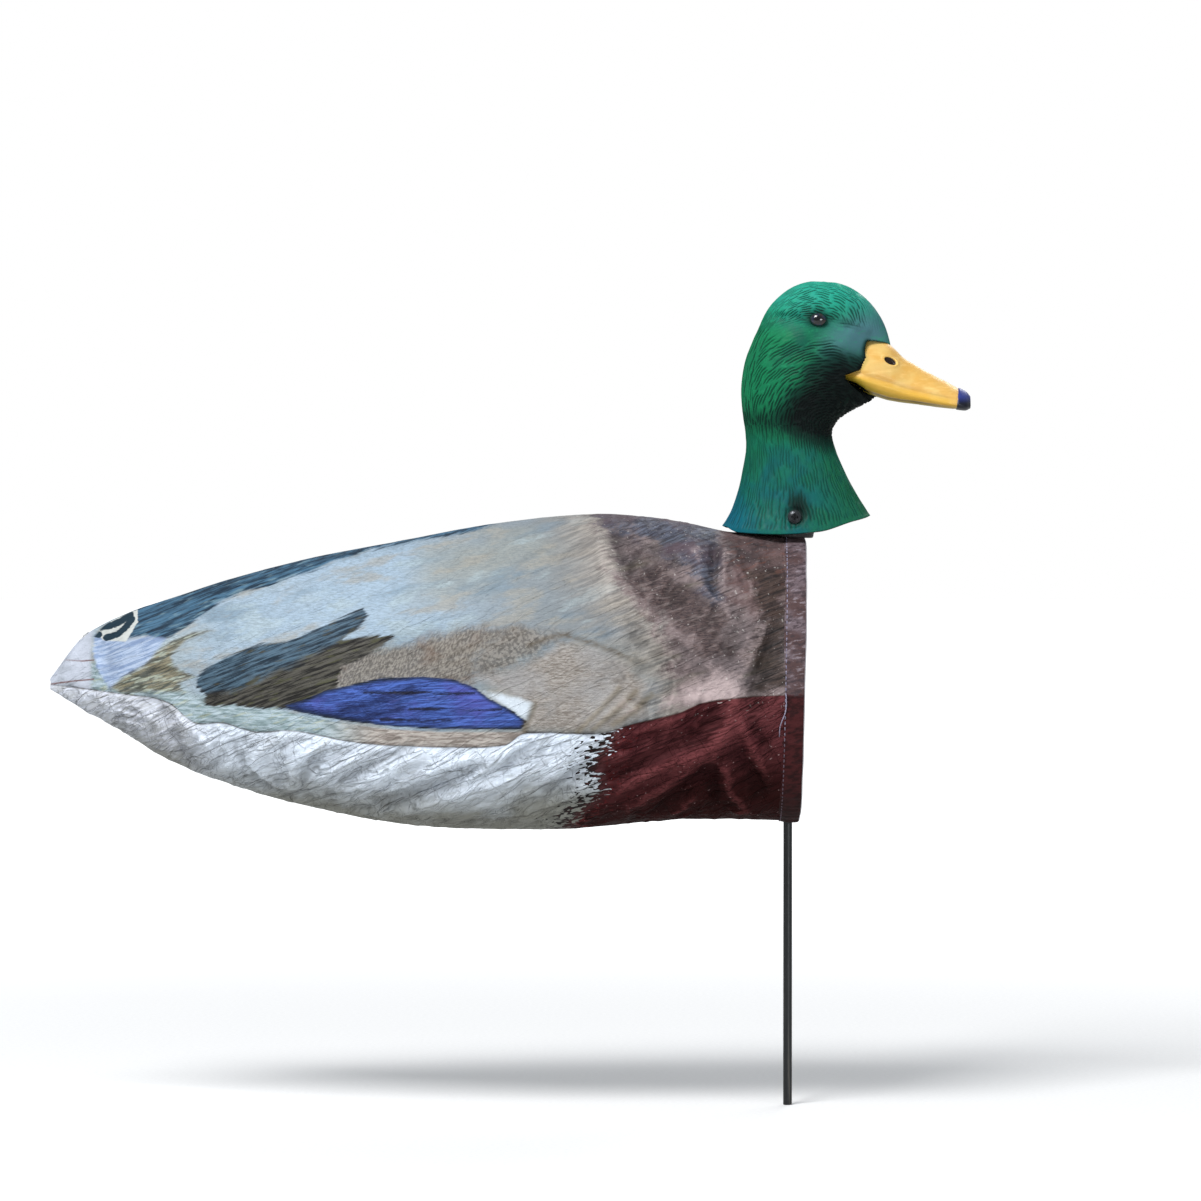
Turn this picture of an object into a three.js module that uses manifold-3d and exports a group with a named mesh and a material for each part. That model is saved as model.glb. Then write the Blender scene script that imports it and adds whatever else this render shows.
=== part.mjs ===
// Windsock duck decoy on a stake. A printed sock of spun-bonded fabric fills with wind through its mouth,
// hangs from a plastic bracket and backbone strip, and turns with its moulded head on a thin round stake.
// Millimetres, +Z up, +X towards the bill, +Y the bird's left. The origin is the centre of the stake's foot.
import * as THREE from "three";
import { mergeVertices } from "three/addons/utils/BufferGeometryUtils.js";
import Module from "manifold-3d";

const wasm = await Module();
wasm.setup();

// ---- Driving dimensions ----
const GAP = 0.35; // clearance between neighbouring solids
const STAKE_R = 3.175; // quarter-inch rod
const STAKE_TOP = 415;
const CAP_R = 4.2; // bearing cap on the stake's top end
const CAP_WALL = 0.65;
const CAP_HEIGHT = 14;
const CAP_ROOF = 1.6;

const FLANGE = { r: 19, bottom: 405, top: 416.5 }; // rests on the sock's back under the neck
const SOCKET_R = 7.5; // tube below the flange that drops over the stake
const SOCKET_BOTTOM = 370;
const BORE_R = CAP_R + GAP;
const BORE_TOP = STAKE_TOP + CAP_ROOF + 2 * GAP;
const PLUG = { x: 3.6, length: 30, halfWidth: 25.5, top: 433 }; // block that fills the neck around the bolt

const BOLT = { x: 3.6, z: 424.5, r: 2.4, headR: 5, headHeight: 3.4, recessR: 6.2 };
const NUT_R = 4.6; // across the corners, halved
const NUT_THICK = 4;

const FABRIC = 1; // wall of the sock
const HEM_WIDTH = 16; // hem band, measured along X
const HEM_DEPTH = 5; // the band is folded over the hoop
const HOOP = { width: 11, thick: 2, gap: 0.13 }; // open at the top, gap in radians either side
const MOUTH_X = { top: 4.3, bottom: 0 }; // middle of the hem band, which leans a little
const FRONT_FOLD_END = -62; // the sock folds here when it lifts or droops
const MID_END = -225;
const TAIL_FOLD_END = -265; // and here when the tail swings
const TAIL_END = -532;
const WIDEST = 0.42; // height of the widest point, as a share of the section

const STRIP = { thick: 2, width: 22, front: 13, rear: -143, rootZ: 401.8, archGap: 1.5 };
const CLAMP = { r: 12.5, thick: 3.5 }; // ring that holds the strip up on the socket tube
const ARCH = { width: 10, thick: 2, inset: 4, lean: 0.22, reach: 1.66 };
const RIVET = { r: 1.6, headR: 3, headThick: 1.2 };

const HEAD_WALL = 2.2;
const EYE = { x: 20.7, y: 25.3, z: 565.5, rx: 5.6, ry: 3.4, rz: 4.6, turn: 0.1 };

// ---- Materials ----
const plastic = (color, roughness) => new THREE.MeshStandardMaterial({ color, roughness, metalness: 0 });
const metal = (color, roughness) => new THREE.MeshStandardMaterial({ color, roughness, metalness: 0.8 });
const material = {
  head: plastic(0x1e7a55, 0.6),
  bill: plastic(0xe8b24a, 0.5),
  eye: plastic(0x0b1420, 0.08),
  black: plastic(0x101112, 0.45),
  stake: plastic(0x15181b, 0.4),
  steel: metal(0x1a1b1d, 0.35),
  aluminium: metal(0xa8abad, 0.4),
  backPrint: plastic(0xb4b6ae, 0.8),
  bellyPrint: plastic(0xe2e4e2, 0.8),
  hem: plastic(0x6b4a48, 0.8),
  thread: plastic(0xd5d6dc, 0.7),
};

// ---- Curves and lofts ----

// A smooth function through points [x, value] with x rising.
function profile(points) {
  const slope = points.map((p, i) => {
    const a = points[Math.max(i - 1, 0)];
    const b = points[Math.min(i + 1, points.length - 1)];
    return (b[1] - a[1]) / (b[0] - a[0]);
  });
  return (x) => {
    const last = points.length - 2;
    const found = points.findIndex((p, i) => i <= last && x <= points[i + 1][0]);
    const i = found < 0 ? last : found;
    const [x0, v0] = points[i];
    const [x1, v1] = points[i + 1];
    const h = x1 - x0;
    const t = THREE.MathUtils.clamp((x - x0) / h, 0, 1);
    const t2 = t * t;
    const t3 = t2 * t;
    const ends = (2 * t3 - 3 * t2 + 1) * v0 + (3 * t2 - 2 * t3) * v1;
    return ends + (t3 - 2 * t2 + t) * h * slope[i] + (t3 - t2) * h * slope[i + 1];
  };
}

const steps = (from, to, count) =>
  Array.from({ length: count + 1 }, (_, i) => THREE.MathUtils.lerp(from, to, i / count));

// Joins rings of points into one closed body. cap "fan" closes an oval ring, "strip" closes the end of a
// sheet whose ring runs out along one face and back along the other, and "none" joins the last ring to the first.
function loft(rings, cap = "fan") {
  const n = rings[0].length;
  const positions = rings.flat().flatMap((p) => p.toArray());
  const index = [];
  const spans = cap === "none" ? rings.length : rings.length - 1;
  for (let i = 0; i < spans; i++) {
    const a = i * n;
    const b = ((i + 1) % rings.length) * n;
    for (let j = 0; j < n; j++) {
      const k = (j + 1) % n;
      index.push(a + j, a + k, b + k, a + j, b + k, b + j);
    }
  }
  const closeEnd = (start, flip) => {
    const face = (a, b, c) => index.push(...(flip ? [a, c, b] : [a, b, c]).map((v) => v + start));
    if (cap === "strip")
      for (let j = 0; j < n / 2 - 1; j++) {
        face(j, n - 1 - j, n - 2 - j);
        face(j, n - 2 - j, j + 1);
      }
    if (cap === "fan") for (let j = 1; j < n - 1; j++) face(0, j + 1, j);
  };
  closeEnd(0, false);
  closeEnd((rings.length - 1) * n, true);
  const geometry = new THREE.BufferGeometry();
  geometry.setAttribute("position", new THREE.Float32BufferAttribute(positions, 3));
  geometry.setIndex(index);
  return facingOut(geometry);
}

// Reverses the faces of a closed geometry whose volume comes out negative.
function facingOut(geometry) {
  const p = geometry.attributes.position;
  const corner = [new THREE.Vector3(), new THREE.Vector3(), new THREE.Vector3()];
  const index = geometry.index.array;
  let volume = 0;
  for (let i = 0; i < index.length; i += 3) {
    corner.forEach((v, k) => v.fromBufferAttribute(p, index[i + k]));
    volume += corner[0].dot(corner[1].clone().cross(corner[2]));
  }
  if (volume < 0) geometry.setIndex(Array.from(index).reverse());
  return geometry;
}

// ---- Joining and cutting ----
function solid(geometry) {
  const bare = geometry.clone();
  ["normal", "uv"].forEach((name) => bare.deleteAttribute(name));
  const merged = mergeVertices(bare, 1e-4);
  return new wasm.Manifold(
    new wasm.Mesh({
      numProp: 3,
      vertProperties: new Float32Array(merged.attributes.position.array),
      triVerts: new Uint32Array(merged.index.array),
    }),
  );
}

function geometryOf(body) {
  const mesh = body.getMesh();
  const geometry = new THREE.BufferGeometry();
  geometry.setAttribute("position", new THREE.BufferAttribute(mesh.vertProperties, 3));
  geometry.setIndex(new THREE.BufferAttribute(mesh.triVerts, 1));
  geometry.computeVertexNormals();
  return geometry;
}

const cut = (body, ...tools) => tools.reduce((b, t) => b.subtract(t), body);

// Upright cylinder between two heights; turned() lays one along Y.
function post(r, low, high, x = 0, y = 0, sides = 24) {
  const g = new THREE.CylinderGeometry(r, r, high - low, sides).rotateX(Math.PI / 2);
  return solid(g.translate(x, y, (low + high) / 2));
}
function crossPin(r, low, high, x, z, sides = 20) {
  return solid(new THREE.CylinderGeometry(r, r, high - low, sides).translate(x, (low + high) / 2, z));
}
function block(low, high) {
  const size = high.map((v, i) => v - low[i]);
  const middle = high.map((v, i) => (v + low[i]) / 2);
  return solid(new THREE.BoxGeometry(...size).translate(...middle));
}

// ---- The sock's shape ----
const reverse = (points) => [...points].reverse();
const zTop = profile(
  reverse([
    [20, 408], [-38, 414.6], [-98, 423.6], [-140, 426.5], [-207, 420], [-279, 407],
    [-353, 392.5], [-433, 369.5], [-504, 341], [-533, 306],
  ]),
);
const zBottom = profile(
  reverse([
    [20, 205], [-63, 207], [-107, 204], [-150, 200.2], [-207, 200], [-265, 202.3],
    [-323, 211], [-383, 226], [-443, 248.4], [-504, 283.7], [-533, 301],
  ]),
);
const halfWidth = profile(
  reverse([
    [20, 80], [-60, 87], [-140, 91], [-220, 89], [-300, 79], [-380, 61],
    [-450, 38], [-504, 15], [-533, 2.2],
  ]),
);
const zSeam = profile(
  reverse([
    [20, 300], [-45, 295], [-102, 280], [-190, 272], [-258, 264], [-350, 271],
    [-445, 289], [-504, 301], [-533, 303.5],
  ]),
);

// How square the section is: the back is flatter over the hoop and rounder towards the tail.
const BELLY_POWER = 2.25;
const backPower = (x) => THREE.MathUtils.mapLinear(THREE.MathUtils.clamp(x, -140, 0), -140, 0, 1.95, 2.4);

// A point of the sock's surface: angle 0 is the ridge of the back, and pi / 2 the bird's right side.
function sockPoint(x, angle, inset = 0) {
  const top = zTop(x);
  const bottom = zBottom(x);
  const middle = THREE.MathUtils.lerp(bottom, top, WIDEST);
  const c = Math.cos(angle);
  const s = Math.sin(angle);
  const power = 2 / (c > 0 ? backPower(x) : BELLY_POWER);
  const reach = (c > 0 ? top - middle : middle - bottom) - inset;
  const side = Math.sign(s) * Math.abs(s) ** power;
  return new THREE.Vector3(
    x,
    -(halfWidth(x) - inset) * side,
    middle + reach * Math.sign(c) * Math.abs(c) ** power,
  );
}

// The angle at which the seam between back panel and belly panel crosses the section at x.
function seamAngle(x) {
  const top = zTop(x);
  const bottom = zBottom(x);
  const middle = THREE.MathUtils.lerp(bottom, top, WIDEST);
  const rise = zSeam(x) - middle;
  if (rise > 0) return Math.acos((rise / (top - middle)) ** (backPower(x) / 2));
  return Math.PI - Math.acos((-rise / (middle - bottom)) ** (BELLY_POWER / 2));
}

// The hem band leans, so its middle depends on the height.
function mouthX(angle) {
  const z = sockPoint(0, angle).z;
  const share = (z - zBottom(0)) / (zTop(0) - zBottom(0));
  return THREE.MathUtils.lerp(MOUTH_X.bottom, MOUTH_X.top, share);
}

// A stretch of the sock between two stations, each a number or a function of the angle.
// belly picks the panel below the seams; otherwise it's the panel over the back.
function sockPanel(front, rear, belly, stations, across) {
  const at = (station, angle) => (typeof station === "function" ? station(angle) : station);
  const rings = steps(0, 1, stations).map((share) => {
    const seam = seamAngle(THREE.MathUtils.lerp(at(front, Math.PI / 2), at(rear, Math.PI / 2), share));
    const half = halfWidth(THREE.MathUtils.lerp(at(front, 0), at(rear, 0), share));
    const margin = Math.min(GAP / half, 0.12);
    const range = belly ? [seam + margin, 2 * Math.PI - seam - margin] : [margin - seam, seam - margin];
    const angles = steps(...range, across);
    const face = (inset) =>
      angles.map((a) => sockPoint(THREE.MathUtils.lerp(at(front, a), at(rear, a), share), a, inset));
    return [...face(0), ...face(FABRIC).reverse()];
  });
  return loft(rings, "strip");
}

// A ring round the mouth with a given outline of [x from the band's middle, depth inwards].
function mouthRing(outline, from, to, count, cap) {
  const angles = steps(from, to, count);
  if (cap === "none") angles.pop();
  return loft(
    angles.map((a) => outline.map(([dx, depth]) => sockPoint(mouthX(a) + dx, a, depth))),
    cap,
  );
}

// ---- Stake ----
const stakeHole = () => post(STAKE_R + 0.9, 190, 240);

function stakeRod() {
  const g = new THREE.CylinderGeometry(STAKE_R, STAKE_R, STAKE_TOP, 24).rotateX(Math.PI / 2);
  return g.translate(0, 0, STAKE_TOP / 2);
}

function stakeCap() {
  const low = STAKE_TOP + GAP + CAP_ROOF - CAP_HEIGHT;
  const inner = CAP_R - CAP_WALL;
  const high = STAKE_TOP + GAP + CAP_ROOF;
  const outline = [
    [0, high], [CAP_R * 0.8, high], [CAP_R, high - 0.8], [CAP_R, low],
    [inner, low], [inner, STAKE_TOP + GAP], [0, STAKE_TOP + GAP],
  ].map(([r, z]) => new THREE.Vector2(r, z));
  const g = new THREE.LatheGeometry(reverse(outline), 24).rotateX(Math.PI / 2);
  return geometryOf(solid(g));
}

// ---- Bracket, hoop and backbone ----
function plug(grow) {
  const half = PLUG.length / 2 + grow;
  const wide = PLUG.halfWidth + grow;
  const oval = new THREE.Shape().absellipse(0, 0, half, wide, 0, 2 * Math.PI);
  const height = PLUG.top + grow - FLANGE.top + 1;
  const g = new THREE.ExtrudeGeometry(oval, { depth: height, bevelEnabled: false, curveSegments: 14 });
  return solid(g.translate(PLUG.x, 0, FLANGE.top - 1));
}

// The front end of the sock as a filled body, a little larger than the fabric.
function sockCore() {
  const rings = steps(30, -80, 14).map((x) => steps(0, 2 * Math.PI, 60).slice(1).map((a) => sockPoint(x, a, -0.6 - GAP)));
  return solid(loft(rings));
}

// The flange's underside takes the shape of the sock's back.
function flange() {
  const outline = [
    [0, FLANGE.bottom], [FLANGE.r - 4, FLANGE.bottom], [FLANGE.r - 0.8, FLANGE.bottom + 5],
    [FLANGE.r, FLANGE.top - 1.5], [FLANGE.r - 1, FLANGE.top], [0, FLANGE.top],
  ].map(([r, z]) => new THREE.Vector2(r, z));
  const g = new THREE.LatheGeometry(outline, 40).rotateX(Math.PI / 2);
  return cut(solid(g), sockCore());
}

// A strip bent to the shape of a curve in the XZ plane.
function bentStrip(curve, width, thick, count) {
  const rings = steps(0, 1, count).map((t) => {
    const p = curve.getPoint(t);
    const d = curve.getTangent(t);
    const up = new THREE.Vector2(d.y, -d.x).multiplyScalar((thick / 2) * Math.sign(-d.x));
    return [[1, -1], [1, 1], [-1, 1], [-1, -1]].map(
      ([u, v]) => new THREE.Vector3(p.x + u * up.x, (v * width) / 2, p.y - u * up.y * Math.sign(d.x)),
    );
  });
  return loft(rings);
}

const stripEndZ = zTop(STRIP.rear) - ARCH.inset - ARCH.thick - STRIP.archGap - STRIP.thick / 2;
const stripCurve = new THREE.CubicBezierCurve(
  new THREE.Vector2(STRIP.front, STRIP.rootZ),
  new THREE.Vector2(STRIP.front - 70, STRIP.rootZ),
  new THREE.Vector2(STRIP.rear + 50, stripEndZ),
  new THREE.Vector2(STRIP.rear, stripEndZ),
);
const archRivet = { x: STRIP.rear + 6, y: 0 };

const backboneStrip = () => solid(bentStrip(stripCurve, STRIP.width, STRIP.thick, 16));

function rivet({ x, y }, low, high) {
  const shaft = post(RIVET.r, low - GAP - 0.6, high + GAP + 0.6, x, y, 16);
  const head = post(RIVET.headR, high + GAP, high + GAP + RIVET.headThick, x, y, 16);
  const tail = post(RIVET.headR, low - GAP - RIVET.headThick, low - GAP, x, y, 16);
  return shaft.add(head).add(tail);
}
const rivetHole = ({ x, y }) => post(RIVET.r + GAP, 395, 430, x, y, 16);

function collarHoop() {
  const w = HOOP.width / 2;
  const near = FABRIC + 0.2;
  const far = near + HOOP.thick;
  const outline = [[-w, near], [w, near], [w, far], [-w, far]];
  return solid(mouthRing(outline, HOOP.gap, 2 * Math.PI - HOOP.gap, 56, "fan"));
}

function headBracket() {
  return cut(
    flange().add(plug(0)).add(post(SOCKET_R, SOCKET_BOTTOM, FLANGE.top)),
    post(BORE_R, SOCKET_BOTTOM - 1, BORE_TOP),
    crossPin(BOLT.r + GAP, -40, 40, BOLT.x, BOLT.z),
  );
}

const tubeHole = (grow) => post(SOCKET_R + grow, SOCKET_BOTTOM, FLANGE.top);
const clampTop = STRIP.rootZ - STRIP.thick / 2 - GAP;
const stripClamp = () => cut(post(CLAMP.r, clampTop - CLAMP.thick, clampTop, 0, 0, 32), tubeHole(GAP));

// The cross-arch leans forward as it comes down each side of the sock.
function bodyArch() {
  const angles = steps(-ARCH.reach, ARCH.reach, 26);
  const rings = angles.map((a) => {
    const drop = zTop(STRIP.rear) - sockPoint(STRIP.rear, a).z;
    const x = archRivet.x + ARCH.lean * drop;
    const w = ARCH.width / 2;
    const far = ARCH.inset + ARCH.thick;
    return [[-w, ARCH.inset], [w, ARCH.inset], [w, far], [-w, far]].map(([dx, depth]) =>
      sockPoint(x + dx, a, depth),
    );
  });
  return cut(solid(loft(rings)), rivetHole(archRivet));
}

// ---- Sock panels ----
function hemBand() {
  const w = HEM_WIDTH / 2;
  const t = 0.8;
  const outline = [
    [-w, -0.6], [w - 1, -0.6], [w, 0.4], [w, HEM_DEPTH - 1], [w - 1, HEM_DEPTH], [-w, HEM_DEPTH],
    [-w, HEM_DEPTH - t], [w - t, HEM_DEPTH - t], [w - t, t - 0.6], [-w, t - 0.6],
  ];
  const band = solid(mouthRing(outline, 0, 2 * Math.PI, 56, "none"));
  return cut(band, tubeHole(GAP), stakeHole());
}

function hemThread() {
  const x = 1.5 - HEM_WIDTH / 2;
  const near = -0.6 - GAP;
  const outline = [[x, near], [x + 0.7, near], [x + 0.7, near - 0.7], [x, near - 0.7]];
  const from = 0.42;
  return mouthRing(outline, from, 2 * Math.PI - from, 56, "fan");
}

const behindHem = (angle) => mouthX(angle) - HEM_WIDTH / 2 - GAP;
const frontPanel = (belly) =>
  cut(solid(sockPanel(behindHem, FRONT_FOLD_END, belly, 4, belly ? 14 : 18)), tubeHole(GAP));

// ---- Head ----
// Stations up the neck and over the head: front point, back point, half width.
const HEAD_STATIONS = [
  [66, 410, -52, 406, 38],
  [59, 425, -46.8, 418, 34],
  [52.3, 435.6, -40.6, 430, 30.5],
  [45.4, 448, -35.3, 446.6, 27],
  [39.2, 460.4, -31.7, 463.1, 25],
  [34.4, 471.4, -30.4, 474, 24],
  [31.5, 484, -31, 486, 24.4],
  [36, 493.4, -32.2, 496, 26.3],
  [48, 501.5, -33.3, 506, 28.5],
  [60.6, 508.6, -33.8, 516, 30.3],
  [71, 519, -33, 525.5, 31.3],
  [75.5, 534, -30.6, 537, 31],
  [73.5, 548, -26.4, 548.5, 29.3],
  [69.5, 561, -21.6, 560, 26.8],
  [64.8, 570.5, -15.5, 572, 23.4],
  [57.9, 579.6, -7, 582.5, 18.6],
  [47, 588, 3, 589.5, 12.4],
  [36, 592.6, 15, 593.2, 6.4],
];
const headTracks = [0, 1, 2, 3, 4].map((k) => profile(HEAD_STATIONS.map((s, i) => [i, s[k]])));

// A point of the head's skin. The front of each section is drawn in towards the bill.
function headPoint(station, angle) {
  const [fx, fz, bx, bz, half] = headTracks.map((track) => track(station));
  const front = new THREE.Vector3(fx, 0, fz);
  const back = new THREE.Vector3(bx, 0, bz);
  const c = Math.cos(angle);
  const s = Math.sin(angle);
  const face = THREE.MathUtils.smoothstep(station, 5.5, 9) * (1 - THREE.MathUtils.smoothstep(station, 12, 15));
  const middle = 0.5 - 0.12 * face;
  const pinch = c > 0 ? face * 0.42 * c ** 1.5 : 0;
  const along = c > 0 ? middle + (1 - middle) * c : middle * (1 + c);
  const p = back.lerp(front, along);
  p.y = half * s * (1 - pinch);
  return p;
}

function headNormal(station, angle) {
  const d = 0.02;
  const up = headPoint(station + d, angle).sub(headPoint(station - d, angle));
  const round = headPoint(station, angle + d).sub(headPoint(station, angle - d));
  return round.cross(up).normalize();
}

function headLoft(depth, from, to, count, around) {
  const rings = steps(from, to, count).map((u) =>
    steps(0, 2 * Math.PI, around)
      .slice(1)
      .map((a) => headPoint(u, a).addScaledVector(headNormal(u, a), -depth)),
  );
  return solid(loft(rings));
}

// Stations along the bill: x, top, bottom, half width.
const BILL_STATIONS = [
  [38, 541, 522, 10.5],
  [48, 547, 518.5, 17.4],
  [56, 551.4, 513.4, 19.4],
  [66, 550.6, 510, 18.6],
  [73, 548.3, 508, 17.3],
  [83, 538.8, 506.4, 15.8],
  [94, 532, 505, 15.4],
  [108, 524.4, 503.2, 16.2],
  [121, 517.6, 501.8, 15.4],
  [127.5, 514.4, 501.3, 11.8],
  [130.6, 510.8, 502.8, 6],
];

function billPoint([x, top, bottom, half], angle, inset) {
  const c = Math.cos(angle);
  const s = Math.sin(angle);
  const lip = THREE.MathUtils.lerp(bottom, top, 0.22);
  const power = c > 0 ? 1.45 : 0.75;
  const height = (c > 0 ? top - lip : lip - bottom) - inset;
  const side = Math.sign(s) * Math.abs(s) ** (c > 0 ? 1.2 : 0.75);
  return new THREE.Vector3(x, (half - inset) * side, lip + height * Math.sign(c) * Math.abs(c) ** power);
}

function billLoft(inset, stations) {
  const angles = steps(0, 2 * Math.PI, 24).slice(1);
  return solid(loft(stations.map((s) => angles.map((a) => billPoint(s, a, inset)))));
}

// Side view of the line where the feathers meet the bill, carried forward round the whole bill.
function featherLine(grow) {
  const outline = new THREE.Shape();
  outline.moveTo(40.6, 526.6);
  outline.quadraticCurveTo(51.5, 529.5, 55.2, 536.5);
  outline.quadraticCurveTo(57, 545, 55.6, 553);
  outline.lineTo(73.6, 549);
  outline.lineTo(84, 562);
  outline.lineTo(140, 562);
  outline.lineTo(140, 490);
  outline.lineTo(52, 490);
  outline.lineTo(40.6, 523);
  const g = new THREE.ExtrudeGeometry(outline, {
    depth: 60, curveSegments: 6, bevelSegments: 1, bevelThickness: 0.1, bevelSize: 0, bevelOffset: grow,
  });
  return solid(g.rotateX(Math.PI / 2).translate(0, 30, 0));
}

function bill(grow) {
  const skin = billLoft(-grow, BILL_STATIONS);
  return skin.intersect(featherLine(grow));
}

function hollowBill() {
  const hollow = billLoft(2, BILL_STATIONS.slice(0, -2));
  const back = hollow.add(hollow.translate([-3, 0, 0]));
  return cut(bill(0), back);
}

function eye(side, grow) {
  const g = new THREE.SphereGeometry(1, 20, 12).scale(EYE.rx + grow, EYE.ry + grow, EYE.rz + grow);
  return solid(g.rotateZ(-side * EYE.turn).translate(EYE.x, side * EYE.y, EYE.z));
}

// The neck's lower edge dips in the middle of each side.
function skirtCut() {
  const edge = new THREE.Shape();
  edge.moveTo(-70, 380);
  edge.lineTo(-70, 417.6);
  edge.lineTo(-47, 417.6);
  edge.quadraticCurveTo(8, 410, 60, 425.4);
  edge.lineTo(80, 430);
  edge.lineTo(80, 380);
  const g = new THREE.ExtrudeGeometry(edge, { depth: 100, bevelEnabled: false, curveSegments: 10 });
  return solid(g.rotateX(Math.PI / 2).translate(0, 50, 0));
}

// Y of the neck's side wall at the bolt.
const neckSide = Math.abs(headPoint(1 + (BOLT.z - 421.5) / 11, Math.PI / 2).y);
const seatY = neckSide - 1.1;

function headShell() {
  const sides = [-1, 1];
  return cut(
    headLoft(0, 0, 17, 34, 40),
    headLoft(HEAD_WALL, 0, 16, 20, 24),
    headLoft(HEAD_WALL, 0, 1, 1, 24).translate([0, 0, -4]),
    skirtCut(),
    bill(GAP),
    crossPin(BOLT.r + GAP, -60, 60, BOLT.x, BOLT.z),
    ...sides.map((s) => crossPin(BOLT.recessR, s > 0 ? seatY : -60, s > 0 ? 60 : -seatY, BOLT.x, BOLT.z)),
    ...sides.map((s) => eye(s, GAP)),
  );
}

// Pan-head bolt through the neck, its head on the bird's right side, with a cross recess.
function neckBolt() {
  const under = -seatY - GAP;
  const outline = [
    [0, 0], [BOLT.headR, 0], [BOLT.headR, -1.2], [BOLT.headR * 0.86, -2.4],
    [BOLT.headR * 0.55, -BOLT.headHeight], [0, -BOLT.headHeight],
  ].map(([r, y]) => new THREE.Vector2(r, y));
  const pan = new THREE.LatheGeometry(reverse(outline), 24).translate(BOLT.x, under, BOLT.z);
  const shaft = crossPin(BOLT.r, under - 0.5, seatY + NUT_THICK + 2, BOLT.x, BOLT.z);
  const slot = [[2.4, 0.5], [0.5, 2.4]].map(([w, h]) =>
    block([BOLT.x - w, -60, BOLT.z - h], [BOLT.x + w, under - 2, BOLT.z + h]),
  );
  return cut(solid(pan).add(shaft), ...slot);
}

function neckNut() {
  const from = seatY + GAP;
  const hex = crossPin(NUT_R, from, from + NUT_THICK, BOLT.x, BOLT.z, 6);
  return cut(hex, crossPin(BOLT.r + GAP, from - 1, from + NUT_THICK + 1, BOLT.x, BOLT.z));
}

// ---- Assembly ----
const decoy = new THREE.Group();
function add(name, shape, finish) {
  const geometry = shape.isBufferGeometry ? shape : geometryOf(shape);
  const mesh = new THREE.Mesh(geometry, finish);
  mesh.name = name;
  decoy.add(mesh);
}

add("stake_rod", stakeRod(), material.stake);
add("stake_cap", stakeCap(), material.black);

add("head_bracket", headBracket(), material.black);
add("strip_clamp", stripClamp(), material.black);
add("collar_hoop", cut(collarHoop(), stakeHole()), material.black);
add("hem_band", hemBand(), material.hem);
add("hem_thread", hemThread(), material.thread);
add("back_panel_front", frontPanel(false), material.backPrint);
add("belly_panel_front", frontPanel(true), material.bellyPrint);

add("backbone_strip", cut(backboneStrip(), tubeHole(GAP), rivetHole(archRivet)), material.black);
add("body_arch", bodyArch(), material.black);
add(
  "arch_rivet",
  rivet(archRivet, stripEndZ - STRIP.thick / 2, zTop(archRivet.x) - ARCH.inset),
  material.aluminium,
);

const panels = [
  ["mid", FRONT_FOLD_END - GAP, MID_END, 7],
  ["fold", MID_END - GAP, TAIL_FOLD_END, 2],
  ["tail", TAIL_FOLD_END - GAP, TAIL_END, 11],
];
panels.forEach(([name, front, rear, stations]) => {
  add(`back_panel_${name}`, sockPanel(front, rear, false, stations, 18), material.backPrint);
  add(`belly_panel_${name}`, sockPanel(front, rear, true, stations, 12), material.bellyPrint);
});

add("head_shell", headShell(), material.head);
add("bill", hollowBill(), material.bill);
add("eye_right", eye(-1, 0), material.eye);
add("eye_left", eye(1, 0), material.eye);
add("neck_bolt", neckBolt(), material.steel);
add("neck_nut", neckNut(), material.steel);

export default decoy;
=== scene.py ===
"""Looks of the windsock duck decoy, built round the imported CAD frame.

The fabric, head, bill, eyes, hem and rod are built here as meshes in the places their CAD solids hold.
X points the way the bill does, Y to the bird's left and Z up, and the side view is X and Z.
Lengths inside the shape functions are millimetres, and meshes are written in metres.
"""
import itertools
import math

import bpy
import numpy as np
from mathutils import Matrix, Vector


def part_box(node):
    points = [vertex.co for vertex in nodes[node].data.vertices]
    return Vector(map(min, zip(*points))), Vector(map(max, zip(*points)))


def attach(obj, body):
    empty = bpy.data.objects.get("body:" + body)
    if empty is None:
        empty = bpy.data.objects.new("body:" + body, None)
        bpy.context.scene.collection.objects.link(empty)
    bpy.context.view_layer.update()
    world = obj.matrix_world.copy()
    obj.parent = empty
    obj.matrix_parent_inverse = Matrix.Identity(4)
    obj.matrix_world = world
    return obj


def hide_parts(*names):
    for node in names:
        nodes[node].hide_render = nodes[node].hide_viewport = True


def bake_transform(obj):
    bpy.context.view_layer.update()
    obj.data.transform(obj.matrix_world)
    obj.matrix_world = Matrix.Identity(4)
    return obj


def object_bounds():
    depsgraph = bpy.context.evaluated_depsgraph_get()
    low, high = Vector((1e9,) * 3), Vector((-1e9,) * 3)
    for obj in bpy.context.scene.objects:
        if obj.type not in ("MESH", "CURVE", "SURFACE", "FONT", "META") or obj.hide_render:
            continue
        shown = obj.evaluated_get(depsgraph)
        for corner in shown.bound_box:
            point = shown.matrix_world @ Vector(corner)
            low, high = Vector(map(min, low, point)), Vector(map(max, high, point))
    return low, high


MM = 0.001
FULL_TURN = 2 * np.pi
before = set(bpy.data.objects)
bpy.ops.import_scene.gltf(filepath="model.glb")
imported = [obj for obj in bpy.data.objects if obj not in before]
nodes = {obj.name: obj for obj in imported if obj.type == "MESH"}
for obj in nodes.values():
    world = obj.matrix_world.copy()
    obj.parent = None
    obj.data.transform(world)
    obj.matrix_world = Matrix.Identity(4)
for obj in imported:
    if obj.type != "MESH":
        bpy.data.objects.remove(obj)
cad_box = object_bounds()


# ---------------------------------------------------------------- numbers and outlines


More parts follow.
